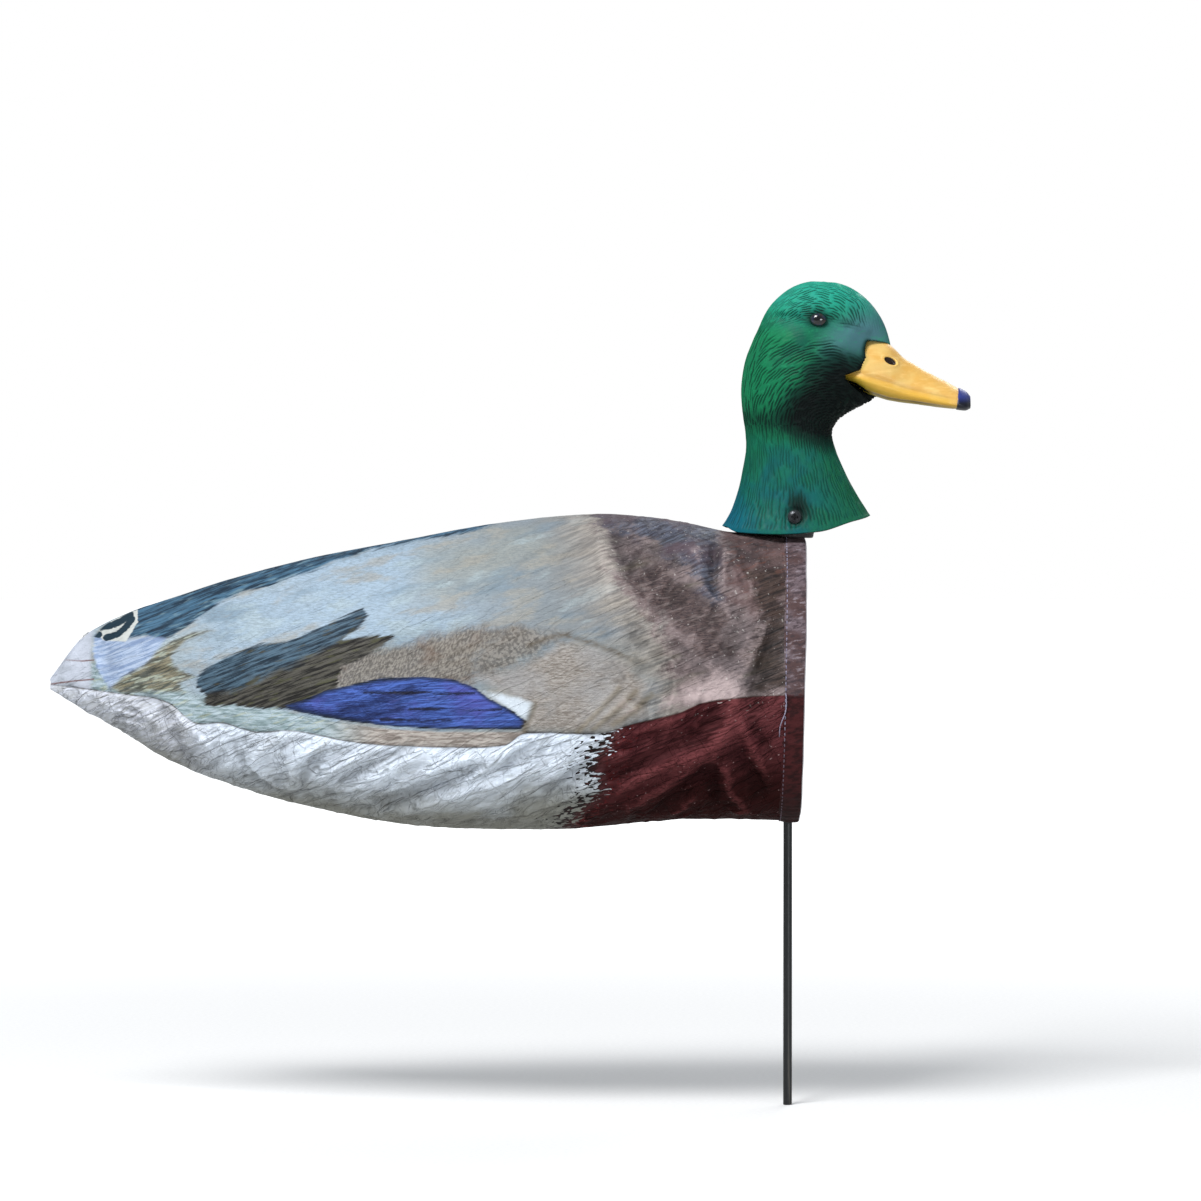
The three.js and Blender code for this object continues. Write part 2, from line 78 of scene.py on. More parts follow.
def profile(points):
    """A smooth function through points (x, value)."""
    xs, vs = np.array(sorted(points), float).T
    last = len(xs) - 1
    low = np.maximum(np.arange(last + 1) - 1, 0)
    high = np.minimum(np.arange(last + 1) + 1, last)
    slope = (vs[high] - vs[low]) / (xs[high] - xs[low])

    def value(x):
        x = np.clip(np.asarray(x, float), xs[0], xs[-1])
        i = np.clip(np.searchsorted(xs, x, side="right") - 1, 0, last - 1)
        h = xs[i + 1] - xs[i]
        t = (x - xs[i]) / h
        t2, t3 = t * t, t * t * t
        ends = (2 * t3 - 3 * t2 + 1) * vs[i] + (3 * t2 - 2 * t3) * vs[i + 1]
        return ends + (t3 - 2 * t2 + t) * h * slope[i] + (t3 - t2) * h * slope[i + 1]

    return value


def smooth(x, low, high):
    """0 below low, 1 above high, and a smooth rise between."""
    t = np.clip((np.asarray(x, float) - low) / (high - low), 0, 1)
    return t * t * (3 - 2 * t)


def bump_at(d, width):
    """1 on a line, falling away on both sides with a round crest."""
    return np.exp(-((d / width) ** 2))


def crest_at(d, width):
    """1 on a line, falling away on both sides with a sharp crest."""
    return np.exp(-((np.abs(d) / width) ** 1.2))


def oval(x, z, centre, radii):
    """0 at the centre of an ellipse in the side view and 1 on its outline."""
    return np.hypot((x - centre[0]) / radii[0], (z - centre[1]) / radii[1])


def spot(x, z, centre, radii):
    """1 at the centre of an ellipse in the side view, falling away smoothly past its outline."""
    return bump_at(oval(x, z, centre, radii), 1.0)


def closed_turn(count):
    """Angles of a full turn, without its end."""
    return np.linspace(0, FULL_TURN, count, endpoint=False)


LATTICE = 256
dice = np.random.RandomState(11)
shuffled = dice.permutation(LATTICE)
slopes = dice.normal(size=(LATTICE, 3))
slopes /= np.linalg.norm(slopes, axis=1, keepdims=True)


def soft_noise(points):
    """Smooth noise between about -1 and 1, with one hill or hollow for each unit cell."""
    cell = np.floor(points).astype(int)
    inner = points - cell
    weight = inner**3 * (inner * (inner * 6 - 15) + 10)
    total = 0
    for corner in itertools.product((0, 1), repeat=3):
        x, y, z = np.moveaxis(cell + corner, -1, 0) % LATTICE
        slope = slopes[shuffled[(shuffled[(shuffled[x] + y) % LATTICE] + z) % LATTICE]]
        share = np.prod(np.where(corner, weight, 1 - weight), axis=-1)
        total = total + share * np.sum(slope * (inner - corner), axis=-1)
    return total * 1.7


def wrinkles(p, turn, long, short, seed):
    """Sharp-crested wrinkles, 0 to 1, long in one direction of the side view."""
    x, y, z = p[..., 0], p[..., 1], p[..., 2]
    c, s = math.cos(turn), math.sin(turn)
    bend = soft_noise(p / 45.0 + seed) * 0.9
    cell = np.stack([(x * c + z * s) / long, (z * c - x * s) / short + bend, y / 45 + seed], axis=-1)
    return np.clip(1 - np.abs(soft_noise(cell)) / 0.3, 0, 1)


def along_path(x, z, path):
    """Distance from each point to a path in the side view, and the share of the path covered there."""
    best = np.full(np.shape(x), 1e9)
    share = np.zeros(np.shape(x))
    spans = list(zip(path[:-1], path[1:]))
    for i, ((ax, az), (bx, bz)) in enumerate(spans):
        dx, dz = bx - ax, bz - az
        t = np.clip(((x - ax) * dx + (z - az) * dz) / (dx * dx + dz * dz), 0, 1)
        d = np.hypot(x - ax - t * dx, z - az - t * dz)
        closer = d < best
        best = np.where(closer, d, best)
        share = np.where(closer, (i + t) / len(spans), share)
    return best, share


def nearest(x, z, paths):
    """Distance from each point to the nearest of several paths."""
    return np.min([along_path(x, z, path)[0] for path in paths], axis=0)


def inside_by(x, z, outline):
    """How far inside an outline each point lies; negative outside."""
    loop = list(outline) + [outline[0]]
    inside = np.zeros(np.shape(x), bool)
    for (ax, az), (bx, bz) in zip(loop[:-1], loop[1:]):
        crosses = (az > z) != (bz > z)
        with np.errstate(divide="ignore", invalid="ignore"):
            at = ax + (z - az) * (bx - ax) / (bz - az)
        inside ^= crosses & (x < at)
    d = nearest(x, z, [loop])
    return np.where(inside, d, -d)


# ---------------------------------------------------------------- meshes


def outward_normals(grid):
    """Unit normals of a grid whose second direction wraps round, facing away from the middle plane."""
    along = np.gradient(grid, axis=0)
    around = np.roll(grid, -1, axis=1) - np.roll(grid, 1, axis=1)
    n = np.cross(along, around)
    n /= np.maximum(np.linalg.norm(n, axis=2, keepdims=True), 1e-9)
    side = (len(grid) // 2, grid.shape[1] // 4, 1)
    return n if n[side] * grid[side] > 0 else -n


def blurred(field, reach):
    """A field averaged over its neighbours, wrapping round in the second direction."""
    for _ in range(2):
        for axis in (0, 1):
            shifted = [np.roll(field, k, axis=axis) for k in range(-reach, reach + 1)]
            field = np.mean(shifted, axis=0)
    return field


def new_object(name, verts, faces):
    """A smooth-shaded object from millimetre points and quads or triangles."""
    mesh = bpy.data.meshes.new(name)
    mesh.from_pydata([tuple(v) for v in np.asarray(verts) * MM], [], faces)
    mesh.shade_smooth()
    mesh.update()
    obj = bpy.data.objects.new(name, mesh)
    bpy.context.scene.collection.objects.link(obj)
    return obj


def ring_faces(rows, cols, start=0, flip=False):
    """Quads of a grid of rows that wrap round."""
    i, j = np.meshgrid(np.arange(rows - 1), np.arange(cols), indexing="ij")
    k = (j + 1) % cols
    a, b = start + i * cols + j, start + i * cols + k
    c, d = start + (i + 1) * cols + k, start + (i + 1) * cols + j
    quads = np.stack([a, d, c, b] if flip else [a, b, c, d], axis=-1)
    return quads.reshape(-1, 4).tolist()


def torus_faces(rows, cols):
    """Quads of a grid that wraps round in both directions."""
    last = (rows - 1) * cols
    closing = [[last + j, last + (j + 1) % cols, (j + 1) % cols, j] for j in range(cols)]
    return ring_faces(rows, cols) + closing


def shell(name, outer, inner):
    """A closed wall between two grids that wrap round, joined along their first and last rows."""
    rows, cols, _ = outer.shape
    count = rows * cols
    faces = ring_faces(rows, cols) + ring_faces(rows, cols, count, True)
    for row, flip in ((0, True), (rows - 1, False)):
        for j in range(cols):
            a, b = row * cols + j, row * cols + (j + 1) % cols
            face = [a, b, count + b, count + a]
            faces.append(face if not flip else face[::-1])
    return new_object(name, np.vstack([outer.reshape(-1, 3), inner.reshape(-1, 3)]), faces)


def capped(name, grid):
    """A closed body from a grid that wraps round, with a fan of triangles over each end ring."""
    rows, cols, _ = grid.shape
    verts = list(grid.reshape(-1, 3))
    faces = ring_faces(rows, cols)
    for row, flip in ((0, True), (rows - 1, False)):
        centre = len(verts)
        verts.append(grid[row].mean(axis=0))
        for j in range(cols):
            face = [row * cols + j, row * cols + (j + 1) % cols, centre]
            faces.append(face[::-1] if flip else face)
    return new_object(name, verts, faces)


def lathe(name, outline, sides):
    """A body of revolution about the Z axis, from (radius, height) pairs that start and end on it."""
    rings = np.array(outline, float)
    a = closed_turn(sides)
    grid = np.empty((len(rings), sides, 3))
    grid[..., 0] = rings[:, :1] * np.cos(a)
    grid[..., 1] = rings[:, :1] * np.sin(a)
    grid[..., 2] = rings[:, 1:]
    return capped(name, grid)


def tube(name, points, radius, sides=10):
    """A thin round thread through points, narrower at its two closed ends."""
    run = np.gradient(points, axis=0)
    run /= np.linalg.norm(run, axis=1, keepdims=True)
    side = np.cross(run, [0.13, 0.37, 0.92])
    side /= np.linalg.norm(side, axis=1, keepdims=True)
    up = np.cross(run, side)
    a = closed_turn(sides)[:, None]
    r = np.full(len(points), radius)
    r[[0, -1]] = radius * 0.35
    ring = side[:, None] * np.cos(a) + up[:, None] * np.sin(a)
    return face_out(capped(name, points[:, None] + r[:, None, None] * ring))


def face_out(obj):
    """Turns the faces outwards when the body's volume comes out negative."""
    mesh = obj.data
    mesh.calc_loop_triangles()
    co = np.array([v.co for v in mesh.vertices])
    tri = np.array([t.vertices for t in mesh.loop_triangles])
    volume = np.einsum("ij,ij->", co[tri[:, 0]], np.cross(co[tri[:, 1]], co[tri[:, 2]]))
    if volume < 0:
        mesh.flip_normals()
    return obj


def store(obj, name, values):
    """Keeps a number, or a vector, for each vertex under a name that a material can read."""
    values = np.asarray(values, np.float32)
    kind, field = ("FLOAT_VECTOR", "vector") if values.ndim == 2 else ("FLOAT", "value")
    attribute = obj.data.attributes.new(name, kind, "POINT")
    attribute.data.foreach_set(field, values.ravel())


def box_mm(node):
    """Centre and half size of a CAD node's box."""
    low, high = (np.array(corner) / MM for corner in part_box(node))
    return (low + high) / 2, (high - low) / 2


# ---------------------------------------------------------------- materials


def srgb(r, g, b):
    """A colour given as 0 to 255 on the screen, as the linear values that shaders use."""
    def linear(v):
        v /= 255
        return v / 12.92 if v <= 0.04045 else ((v + 0.055) / 1.055) ** 2.4

    return (linear(r), linear(g), linear(b), 1)


class Net:
    """Short names for the shader nodes that the materials here are made of.

    A colour may be written as three numbers from 0 to 255.
    """

    def __init__(self, name):
        self.material = bpy.data.materials.new(name)
        self.material.use_nodes = True
        self.tree = self.material.node_tree
        self.tree.nodes.clear()
        out = self.node("OutputMaterial")
        self.bsdf = self.node("BsdfPrincipled")
        self.put(out.inputs[0], self.bsdf.outputs[0])

    def node(self, kind):
        return self.tree.nodes.new("ShaderNode" + kind)

    def put(self, socket, value):
        """Links a socket's output, or sets a plain value; nothing is done for None."""
        if isinstance(value, bpy.types.NodeSocket):
            self.tree.links.new(value, socket)
        elif isinstance(value, tuple) and len(value) == 3 and socket.type == "RGBA":
            socket.default_value = srgb(*value)
        elif value is not None:
            socket.default_value = value

    def finish(self, **inputs):
        """Sets the surface's inputs, each named with underlines for spaces."""
        for name, value in inputs.items():
            self.put(self.bsdf.inputs[name.replace("_", " ")], value)
        return self.material

    def math(self, operation, a, b=None, c=None):
        n = self.node("Math")
        n.operation = operation
        for socket, value in zip(n.inputs, (a, b, c)):
            self.put(socket, value)
        return n.outputs[0]

    def times(self, *values):
        product = values[0]
        for value in values[1:]:
            product = self.math("MULTIPLY", product, value)
        return product

    def shifted(self, value, noise, reach):
        """A value moved up and down by noise, at most by half the reach."""
        return self.math("MULTIPLY_ADD", self.math("SUBTRACT", noise, 0.5), reach, value)

    def rise(self, value, low, high, to_low=0.0, to_high=1.0):
        """Goes smoothly from one level to another as a value goes from low to high."""
        n = self.node("MapRange")
        n.interpolation_type = "SMOOTHSTEP"
        for socket, v in zip(n.inputs, (value, low, high, to_low, to_high)):
            self.put(socket, v)
        return n.outputs[0]

    def mix(self, share, a, b, mode="MIX"):
        n = self.node("Mix")
        n.data_type = "RGBA"
        n.blend_type = mode
        for index, value in ((0, share), (6, a), (7, b)):
            self.put(n.inputs[index], value)
        return n.outputs[2]

    def tint(self, colour, by, low, high, other, most=1.0):
        """Turns a colour into another as a value rises from low to high."""
        return self.mix(self.rise(by, low, high, 0.0, most), colour, other)

    def number(self, name, output="Fac"):
        """A value that store() kept for each vertex."""
        n = self.node("Attribute")
        n.attribute_name = name
        return n.outputs[output]

    def place(self):
        """The point's place in its object, in metres."""
        return self.node("TexCoord").outputs["Object"]

    def axes(self, vector):
        n = self.node("SeparateXYZ")
        self.put(n.inputs[0], vector)
        return n.outputs

    def noise(self, vector, scale, turn=0.0, detail=2.0, rough=0.5, twist=0.0):
        """Noise with so many cells a metre along each axis, turned to rise forwards in the side view."""
        for name, value in (("Rotation", (0, turn, 0)), ("Scale", scale)):
            if any(value):
                n = self.node("Mapping")
                self.put(n.inputs["Vector"], vector)
                n.inputs[name].default_value = value
                vector = n.outputs[0]
        n = self.node("TexNoise")
        inputs = {"Vector": vector, "Scale": 1, "Detail": detail, "Roughness": rough, "Distortion": twist}
        for name, value in inputs.items():
            self.put(n.inputs[name], value)
        return n.outputs["Fac"]

    def bump(self, height, strength, distance, normal=None):
        n = self.node("Bump")
        inputs = {"Height": height, "Strength": strength, "Distance": distance, "Normal": normal}
        for name, value in inputs.items():
            self.put(n.inputs[name], value)
        return n.outputs[0]


def moulded_plastic(name, colour, edge, rough):
    """Fine-grained plastic with scuffs of a second colour."""
    net = Net(name)
    place = net.place()
    grain = net.noise(place, (900, 900, 900), detail=3)
    scuffs = net.noise(place, (70, 70, 400), detail=4, rough=0.65)
    shade = net.tint(colour, scuffs, 0.5, 0.8, edge, 0.5)
    roughness = net.rise(grain, 0.3, 0.7, rough - 0.07, rough + 0.1)
    return net.finish(Base_Color=shade, Roughness=roughness, Normal=net.bump(grain, 0.25, 0.0003))


def rod_paint():
    """Semi-gloss black coating with faint lengthwise scratches and dusty scuffs near the ground."""
    net = Net("rod_paint")
    place = net.place()
    scratch = net.noise(place, (900, 900, 18), detail=4, rough=0.7)
    near_ground = net.rise(net.axes(place)[2], 0.12, 0.0)
    dust = net.times(near_ground, net.rise(scratch, 0.5, 0.75), 0.5)
    shade = net.tint((14, 17, 20), scratch, 0.45, 0.8, (52, 58, 62), 0.35)
    shade = net.mix(dust, shade, (92, 84, 72))
    roughness = net.rise(scratch, 0.35, 0.75, 0.28, 0.5)
    return net.finish(Base_Color=shade, Roughness=roughness, Normal=net.bump(scratch, 0.15, 0.0002))


def metal(name, colour, dark, rough, metallic=1.0):
    """Metal with darker stains, and grey along its edges, which is both wear and a painted highlight."""
    net = Net(name)
    place = net.place()
    grain = net.noise(place, (1500, 200, 1500), detail=3)
    stain = net.noise(place, (300, 300, 300), detail=4)
    shade = net.tint(colour, stain, 0.45, 0.7, dark, 0.7)
    edge = net.node("NewGeometry").outputs["Pointiness"]
    # Grey along the sharp edges: wear, and a painted highlight.
    shade = net.tint(shade, edge, 0.52, 0.62, (120, 124, 130), 0.6)
    roughness = net.rise(grain, 0.3, 0.7, rough - 0.08, rough + 0.15)
    normal = net.bump(grain, 0.2, 0.0002)
    return net.finish(Base_Color=shade, Metallic=metallic, Roughness=roughness, Normal=normal)


# ---------------------------------------------------------------- the sock's shape

HEM_WIDTH = 16
FABRIC = 0.5
# X of the crease over the arch, and of the stitching from the middle of the hem.
CREASE_X = -148
STITCH_OFFSET = -6.1
# Height of the sock's widest line as a share of its own, and how square its belly is.
WIDEST = 0.42
BELLY_POWER = 2.25

top_line = profile(
    [
        (20, 408), (-38, 414.6), (-98, 423.6), (-140, 426.5), (-207, 420), (-279, 407),
        (-353, 392.5), (-433, 369.5), (-504, 341), (-533, 306),
    ]
)
bottom_line = profile(
    [
        (20, 205), (-63, 207), (-107, 204), (-150, 200.2), (-207, 200), (-265, 202.3),
        (-323, 211), (-383, 226), (-443, 248.4), (-504, 283.7), (-533, 301),
    ]
)
half_width = profile(
    [
        (20, 80), (-60, 87), (-140, 91), (-220, 89), (-300, 79), (-380, 61),
        (-450, 38), (-504, 15), (-533, 2.2),
    ]
)
seam_line = profile(
    [
        (20, 300), (-9, 299), (-32, 298), (-63, 294), (-80, 287), (-113, 279), (-135, 272.5),
        (-189, 272), (-203, 264), (-265, 263), (-305, 265), (-333, 270), (-356, 273.6),
        (-380, 272), (-404, 278), (-424, 278), (-444, 292), (-479, 298), (-533, 303.6),
    ]
)


def sock_point(x, angle, inset=0.0):
    """The sock's smooth surface: angle 0 is the ridge of the back, a quarter turn the bird's right side."""
    x, angle = np.broadcast_arrays(np.asarray(x, float), angle)
    top, bottom = top_line(x), bottom_line(x)
    middle = bottom + (top - bottom) * WIDEST
    c, s = np.cos(angle), np.sin(angle)
    back_power = np.interp(x, [-140, 0], [1.95, 2.4])
    power = 2 / np.where(c > 0, back_power, BELLY_POWER)
    reach = np.where(c > 0, top - middle, middle - bottom) - inset
    side = np.sign(s) * np.abs(s) ** power
    wide = half_width(x) - inset
    return np.stack([x, -wide * side, middle + reach * np.sign(c) * np.abs(c) ** power], axis=-1)


def mouth_x(angle):
    """X of the middle of the hem band, which leans with its height."""
    low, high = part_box("hem_band")
    top_middle = high.x / MM - HEM_WIDTH / 2
    bottom_middle = low.x / MM + HEM_WIDTH / 2
    z = sock_point(0, angle)[..., 2]
    share = (z - bottom_line(0)) / (top_line(0) - bottom_line(0))
    return bottom_middle + (top_middle - bottom_middle) * share


# Folds: path in the side view, height (positive stands out), width.
FOLDS = [
    # Above the seam, from the kink in the back down to the hub beside the hem.
    ([(-138, 421), (-127, 389), (-111, 366), (-91, 349), (-69, 335), (-57, 318), (-46, 299)], 2.6, 9),
    ([(-139, 423), (-135, 398), (-128, 366), (-121, 338)], 1.5, 5),
    ([(-128, 422), (-122, 398), (-108, 376)], -1.6, 8),
    ([(-54, 420), (-54, 396), (-55, 369)], -3.6, 5),
    ([(-46, 417), (-47, 394), (-48, 371)], 2.6, 4),
    ([(-66, 421), (-66, 398), (-62, 372)], 1.8, 6),
    ([(-63, 374), (-46, 360), (-43, 349)], 1.8, 4),
    ([(-41, 299), (-29, 324), (-16, 349), (-7, 374)], 2.6, 6),
    ([(-29, 300), (-19, 327), (-10, 349), (-5, 369)], -3.0, 6),
    ([(-38, 300), (-34, 335), (-27, 378), (-20, 404)], 1.2, 6),
    ([(-83, 319), (-66, 302), (-50, 297)], 1.4, 5),
    ([(-119, 299), (-107, 294), (-98, 293)], -1.6, 2.5),
    ([(-122, 305), (-136, 289), (-150, 274)], 2.0, 3.2),
    ([(-111, 303), (-125, 289), (-139, 277)], 1.8, 3.2),
    ([(-98, 300), (-112, 289), (-124, 280)], 1.5, 3.2),
    ([(-181, 292), (-186, 281), (-188, 273)], -1.0, 3),
    # The breast: folds that fan out from the hub.
    ([(-41, 292), (-47, 272), (-63, 257), (-94, 249), (-111, 240), (-126, 228)], 4.2, 6),
    ([(-41, 288), (-63, 272), (-85, 260), (-113, 249), (-126, 242)], -3.4, 6),
    ([(-69, 249), (-88, 236), (-107, 225), (-124, 216)], 3.0, 6),
    ([(-58, 250), (-76, 234), (-96, 220)], -2.6, 5),
    ([(-41, 294), (-55, 254), (-46, 244), (-43, 229), (-29, 215)], 3.4, 5),
    ([(-50, 262), (-56, 236), (-54, 220), (-41, 214)], -2.6, 5),
    ([(-60, 227), (-54, 219), (-41, 215), (-24, 213)], 2.0, 3.5),
    ([(-40, 294), (-33, 272), (-22, 250), (-11, 235)], 3.8, 5),
    ([(-37, 262), (-22, 236), (-12, 224)], -3.2, 5),
    ([(-32, 284), (-16, 262), (-10, 250)], -1.8, 4),
    ([(-66, 229), (-77, 218), (-85, 211)], 2.0, 4),
    ([(-100, 262), (-122, 258), (-136, 252)], 1.6, 4),
    ([(-64, 290), (-86, 282), (-108, 274), (-128, 264)], 2.0, 5),
    # The belly: long slanting folds, shorter and harder towards the tail.
    ([(-145, 255), (-164, 245), (-185, 233), (-210, 224), (-238, 216), (-260, 210)], 3.4, 5),
    ([(-150, 261), (-173, 247), (-205, 238), (-230, 230)], 2.4, 4),
    ([(-148, 248), (-176, 236), (-200, 230)], -2.4, 5),
    ([(-141, 238), (-155, 229), (-182, 221), (-210, 213)], 2.6, 5),
    ([(-201, 231), (-238, 227), (-260, 221), (-280, 214)], 2.4, 4),
    ([(-185, 268), (-201, 258), (-217, 247), (-230, 238)], 2.8, 4.5),
    ([(-176, 270), (-192, 260), (-210, 246)], -2.0, 4),
    ([(-207, 257), (-228, 254), (-249, 248), (-274, 238), (-293, 226)], 3.2, 5),
    ([(-207, 242), (-251, 224), (-284, 215), (-311, 210)], 3.0, 5),
    ([(-215, 250), (-250, 237), (-282, 226), (-304, 216)], -3.0, 6),
    ([(-251, 257), (-274, 252), (-297, 240), (-311, 232)], 3.0, 5),
    ([(-284, 263), (-300, 257), (-322, 247), (-334, 238)], 3.0, 5),
    ([(-270, 262), (-292, 252), (-316, 240), (-330, 228)], -2.4, 5),
    ([(-311, 269), (-334, 263), (-352, 252), (-356, 236)], 3.6, 5),
    ([(-343, 238), (-320, 231), (-306, 231)], 2.0, 4),
    ([(-334, 258), (-346, 244), (-348, 230)], -2.6, 5),
    ([(-356, 272), (-372, 262), (-384, 248), (-368, 232), (-352, 231)], 4.2, 5.5),
    ([(-396, 258), (-380, 238), (-360, 226)], -3.6, 6),
    ([(-412, 240), (-384, 229), (-352, 219), (-320, 212)], 2.4, 4),
    ([(-392, 276), (-402, 266), (-398, 252), (-406, 243)], 2.8, 5),
    ([(-444, 290), (-432, 278), (-421, 270), (-412, 257)], 4.2, 4.5),
    ([(-440, 272), (-435, 256), (-424, 244), (-405, 236)], -3.6, 6),
    ([(-478, 297), (-462, 286), (-450, 276), (-444, 262)], 2.4, 4.5),
    ([(-505, 300), (-488, 290), (-470, 280)], 1.8, 4),
    ([(-464, 300), (-452, 292), (-436, 281)], -2.4, 4),
    # The tail and the back, where the cloth is pulled smoother.
    ([(-503, 342), (-498, 325), (-490, 307)], 2.4, 4),
    ([(-486, 304), (-464, 314), (-452, 326), (-438, 338), (-415, 343)], 1.6, 4),
    ([(-470, 308), (-450, 316), (-430, 312)], -1.4, 4),
    ([(-430, 318), (-400, 327), (-358, 336), (-310, 352)], 0.8, 5),
    ([(-330, 345), (-280, 352), (-220, 362), (-165, 372)], 0.9, 14),
    ([(-240, 392), (-190, 398), (-146, 404)], -0.8, 12),
    ([(-470, 318), (-380, 300), (-300, 290)], -0.8, 10),
    ([(-230, 322), (-198, 334), (-160, 341), (-126, 331), (-112, 318)], 0.7, 5),
]


def fold_height(x, z):
    """Outward rise of the folds at each point of the side view."""
    total = np.zeros(np.shape(x))
    for path, rise, width in FOLDS:
        d, share = along_path(x, z, path)
        ends = np.sin(np.pi * np.clip(share * 0.9 + 0.05, 0, 1)) ** 0.6
        total += rise * crest_at(d, width) * ends
    return total


def crumple(p, seam):
    """Outward rise of the finer crumpling, stronger on the belly and in front than on the back."""
    x = p[..., 0]
    belly = smooth(-seam, -2, 6)
    front = smooth(x, -150, -95) * (1 - belly)
    tail = smooth(-x, 455, 490)
    broad = wrinkles(p, 0.42, 62, 15, 3.1) - 0.35
    middle = wrinkles(p, 0.30, 30, 8, 8.7) - 0.35
    cross = wrinkles(p, 1.15, 34, 12, 5.2) - 0.35
    fine = wrinkles(p, 0.5, 14, 5, 1.4) - 0.35
    above_keel = smooth(np.abs(p[..., 1]), 4, 26)
    small = 0.9 * middle + 0.6 * cross + 0.3 * fine
    slack = (0.7 * broad + 1.05 * small * (0.2 + 0.8 * above_keel)) * belly
    creased = (0.8 * cross + 0.9 * wrinkles(p, 2.2, 30, 9, 2.6) + 0.5 * fine) * front
    calm = (0.35 * broad + 0.22 * fine) * (1 - belly)
    return slack + creased + calm + 0.7 * tail * cross + 0.9 * soft_noise(p / 55.0 + 9.1)


def pinched_base():
    """The sock's smooth grid from the hem to the tail, where it closes along a slanted seam."""
    rows, cols = ((420, 300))
    angle = closed_turn(cols)
    start = mouth_x(angle) - HEM_WIDTH / 2 + 5
    tip = cad_box[0].x / MM + 0.5
    share = np.linspace(0, 1, rows)[:, None]
    base = sock_point(start + (tip - start) * share, angle[None, :])
    tail_edge, _ = along_path(base[..., 0], base[..., 2], [(-504, 342), (-533, 303)])
    pinch = smooth(-base[..., 0], 470, 500)
    base[..., 1] *= 1 - pinch * (1 - np.clip(tail_edge / 26, 0.02, 1) ** 0.6)
    return base, start


def relief(base, start, seam):
    """Outward rise of the whole fabric: folds, crumpling and seam, held flat where parts lie under it."""
    x, y, z = np.moveaxis(base, -1, 0)
    on_side = smooth(np.abs(y) / half_width(x), 0.12, 0.5)

    # The far side's folds are shifted, so that it is not an exact mirror.
    far = y > 0
    fold_x = x + np.where(far, 7 * np.sin(z / 31), 0)
    fold_z = z + np.where(far, 5 * np.sin(x / 37), 0)
    rise = fold_height(fold_x, fold_z) * on_side * (1 + 0.4 * smooth(x, -150, -115))
    rise += crumple(base, seam) * (0.3 + 0.7 * np.maximum(on_side, 0.7 * smooth(-seam, 0, 8)))

    # The sewn seam lies in a shallow groove with puckers across it.
    pucker = np.sin(x / 1.9 + 3 * np.sin(x / 11))
    rise += bump_at(seam, 1.6) * -0.9 + bump_at(seam + 4, 4) * 0.35 * pucker

    # The fabric lies flat on the hoop, dips under the neck's skirt and thins out at the tip.
    calm = smooth(start - x, 6, 26) * (1 - smooth(-x, 515, 531) * 0.8)
    under_neck = smooth(x, -78, -58) * smooth(z, 398, 408)
    behind_bolt = 1 - smooth(x, -36, -24)
    rise = rise * (0.12 + 0.88 * calm) * (1 - 0.92 * under_neck) - 0.6 * under_neck * behind_bolt
    rise -= 1.1 * under_neck * bump_at(x + 44, 13)

    # It stays off the cross-arch inside.
    over_arch = smooth(x, -150, -142) * (1 - smooth(x, -101, -93))
    return np.clip(rise, -4.5 + 2.0 * over_arch, 5.5)


def sock_grid():
    """The smooth grid, the creased grid with its normals, height over the seam, and depth of the folds."""
    base, start = pinched_base()
    seam = base[..., 2] - seam_line(base[..., 0])
    rise = relief(base, start, seam)
    grid = base + outward_normals(base) * rise[..., None]
    rows = len(base)
    near = rise - blurred(rise, max(rows // 70, 2))
    wide_around = rise - blurred(rise, rows // 26)
    return base, grid, outward_normals(grid), seam, near + 0.45 * wide_around


# ---------------------------------------------------------------- the print's outlines

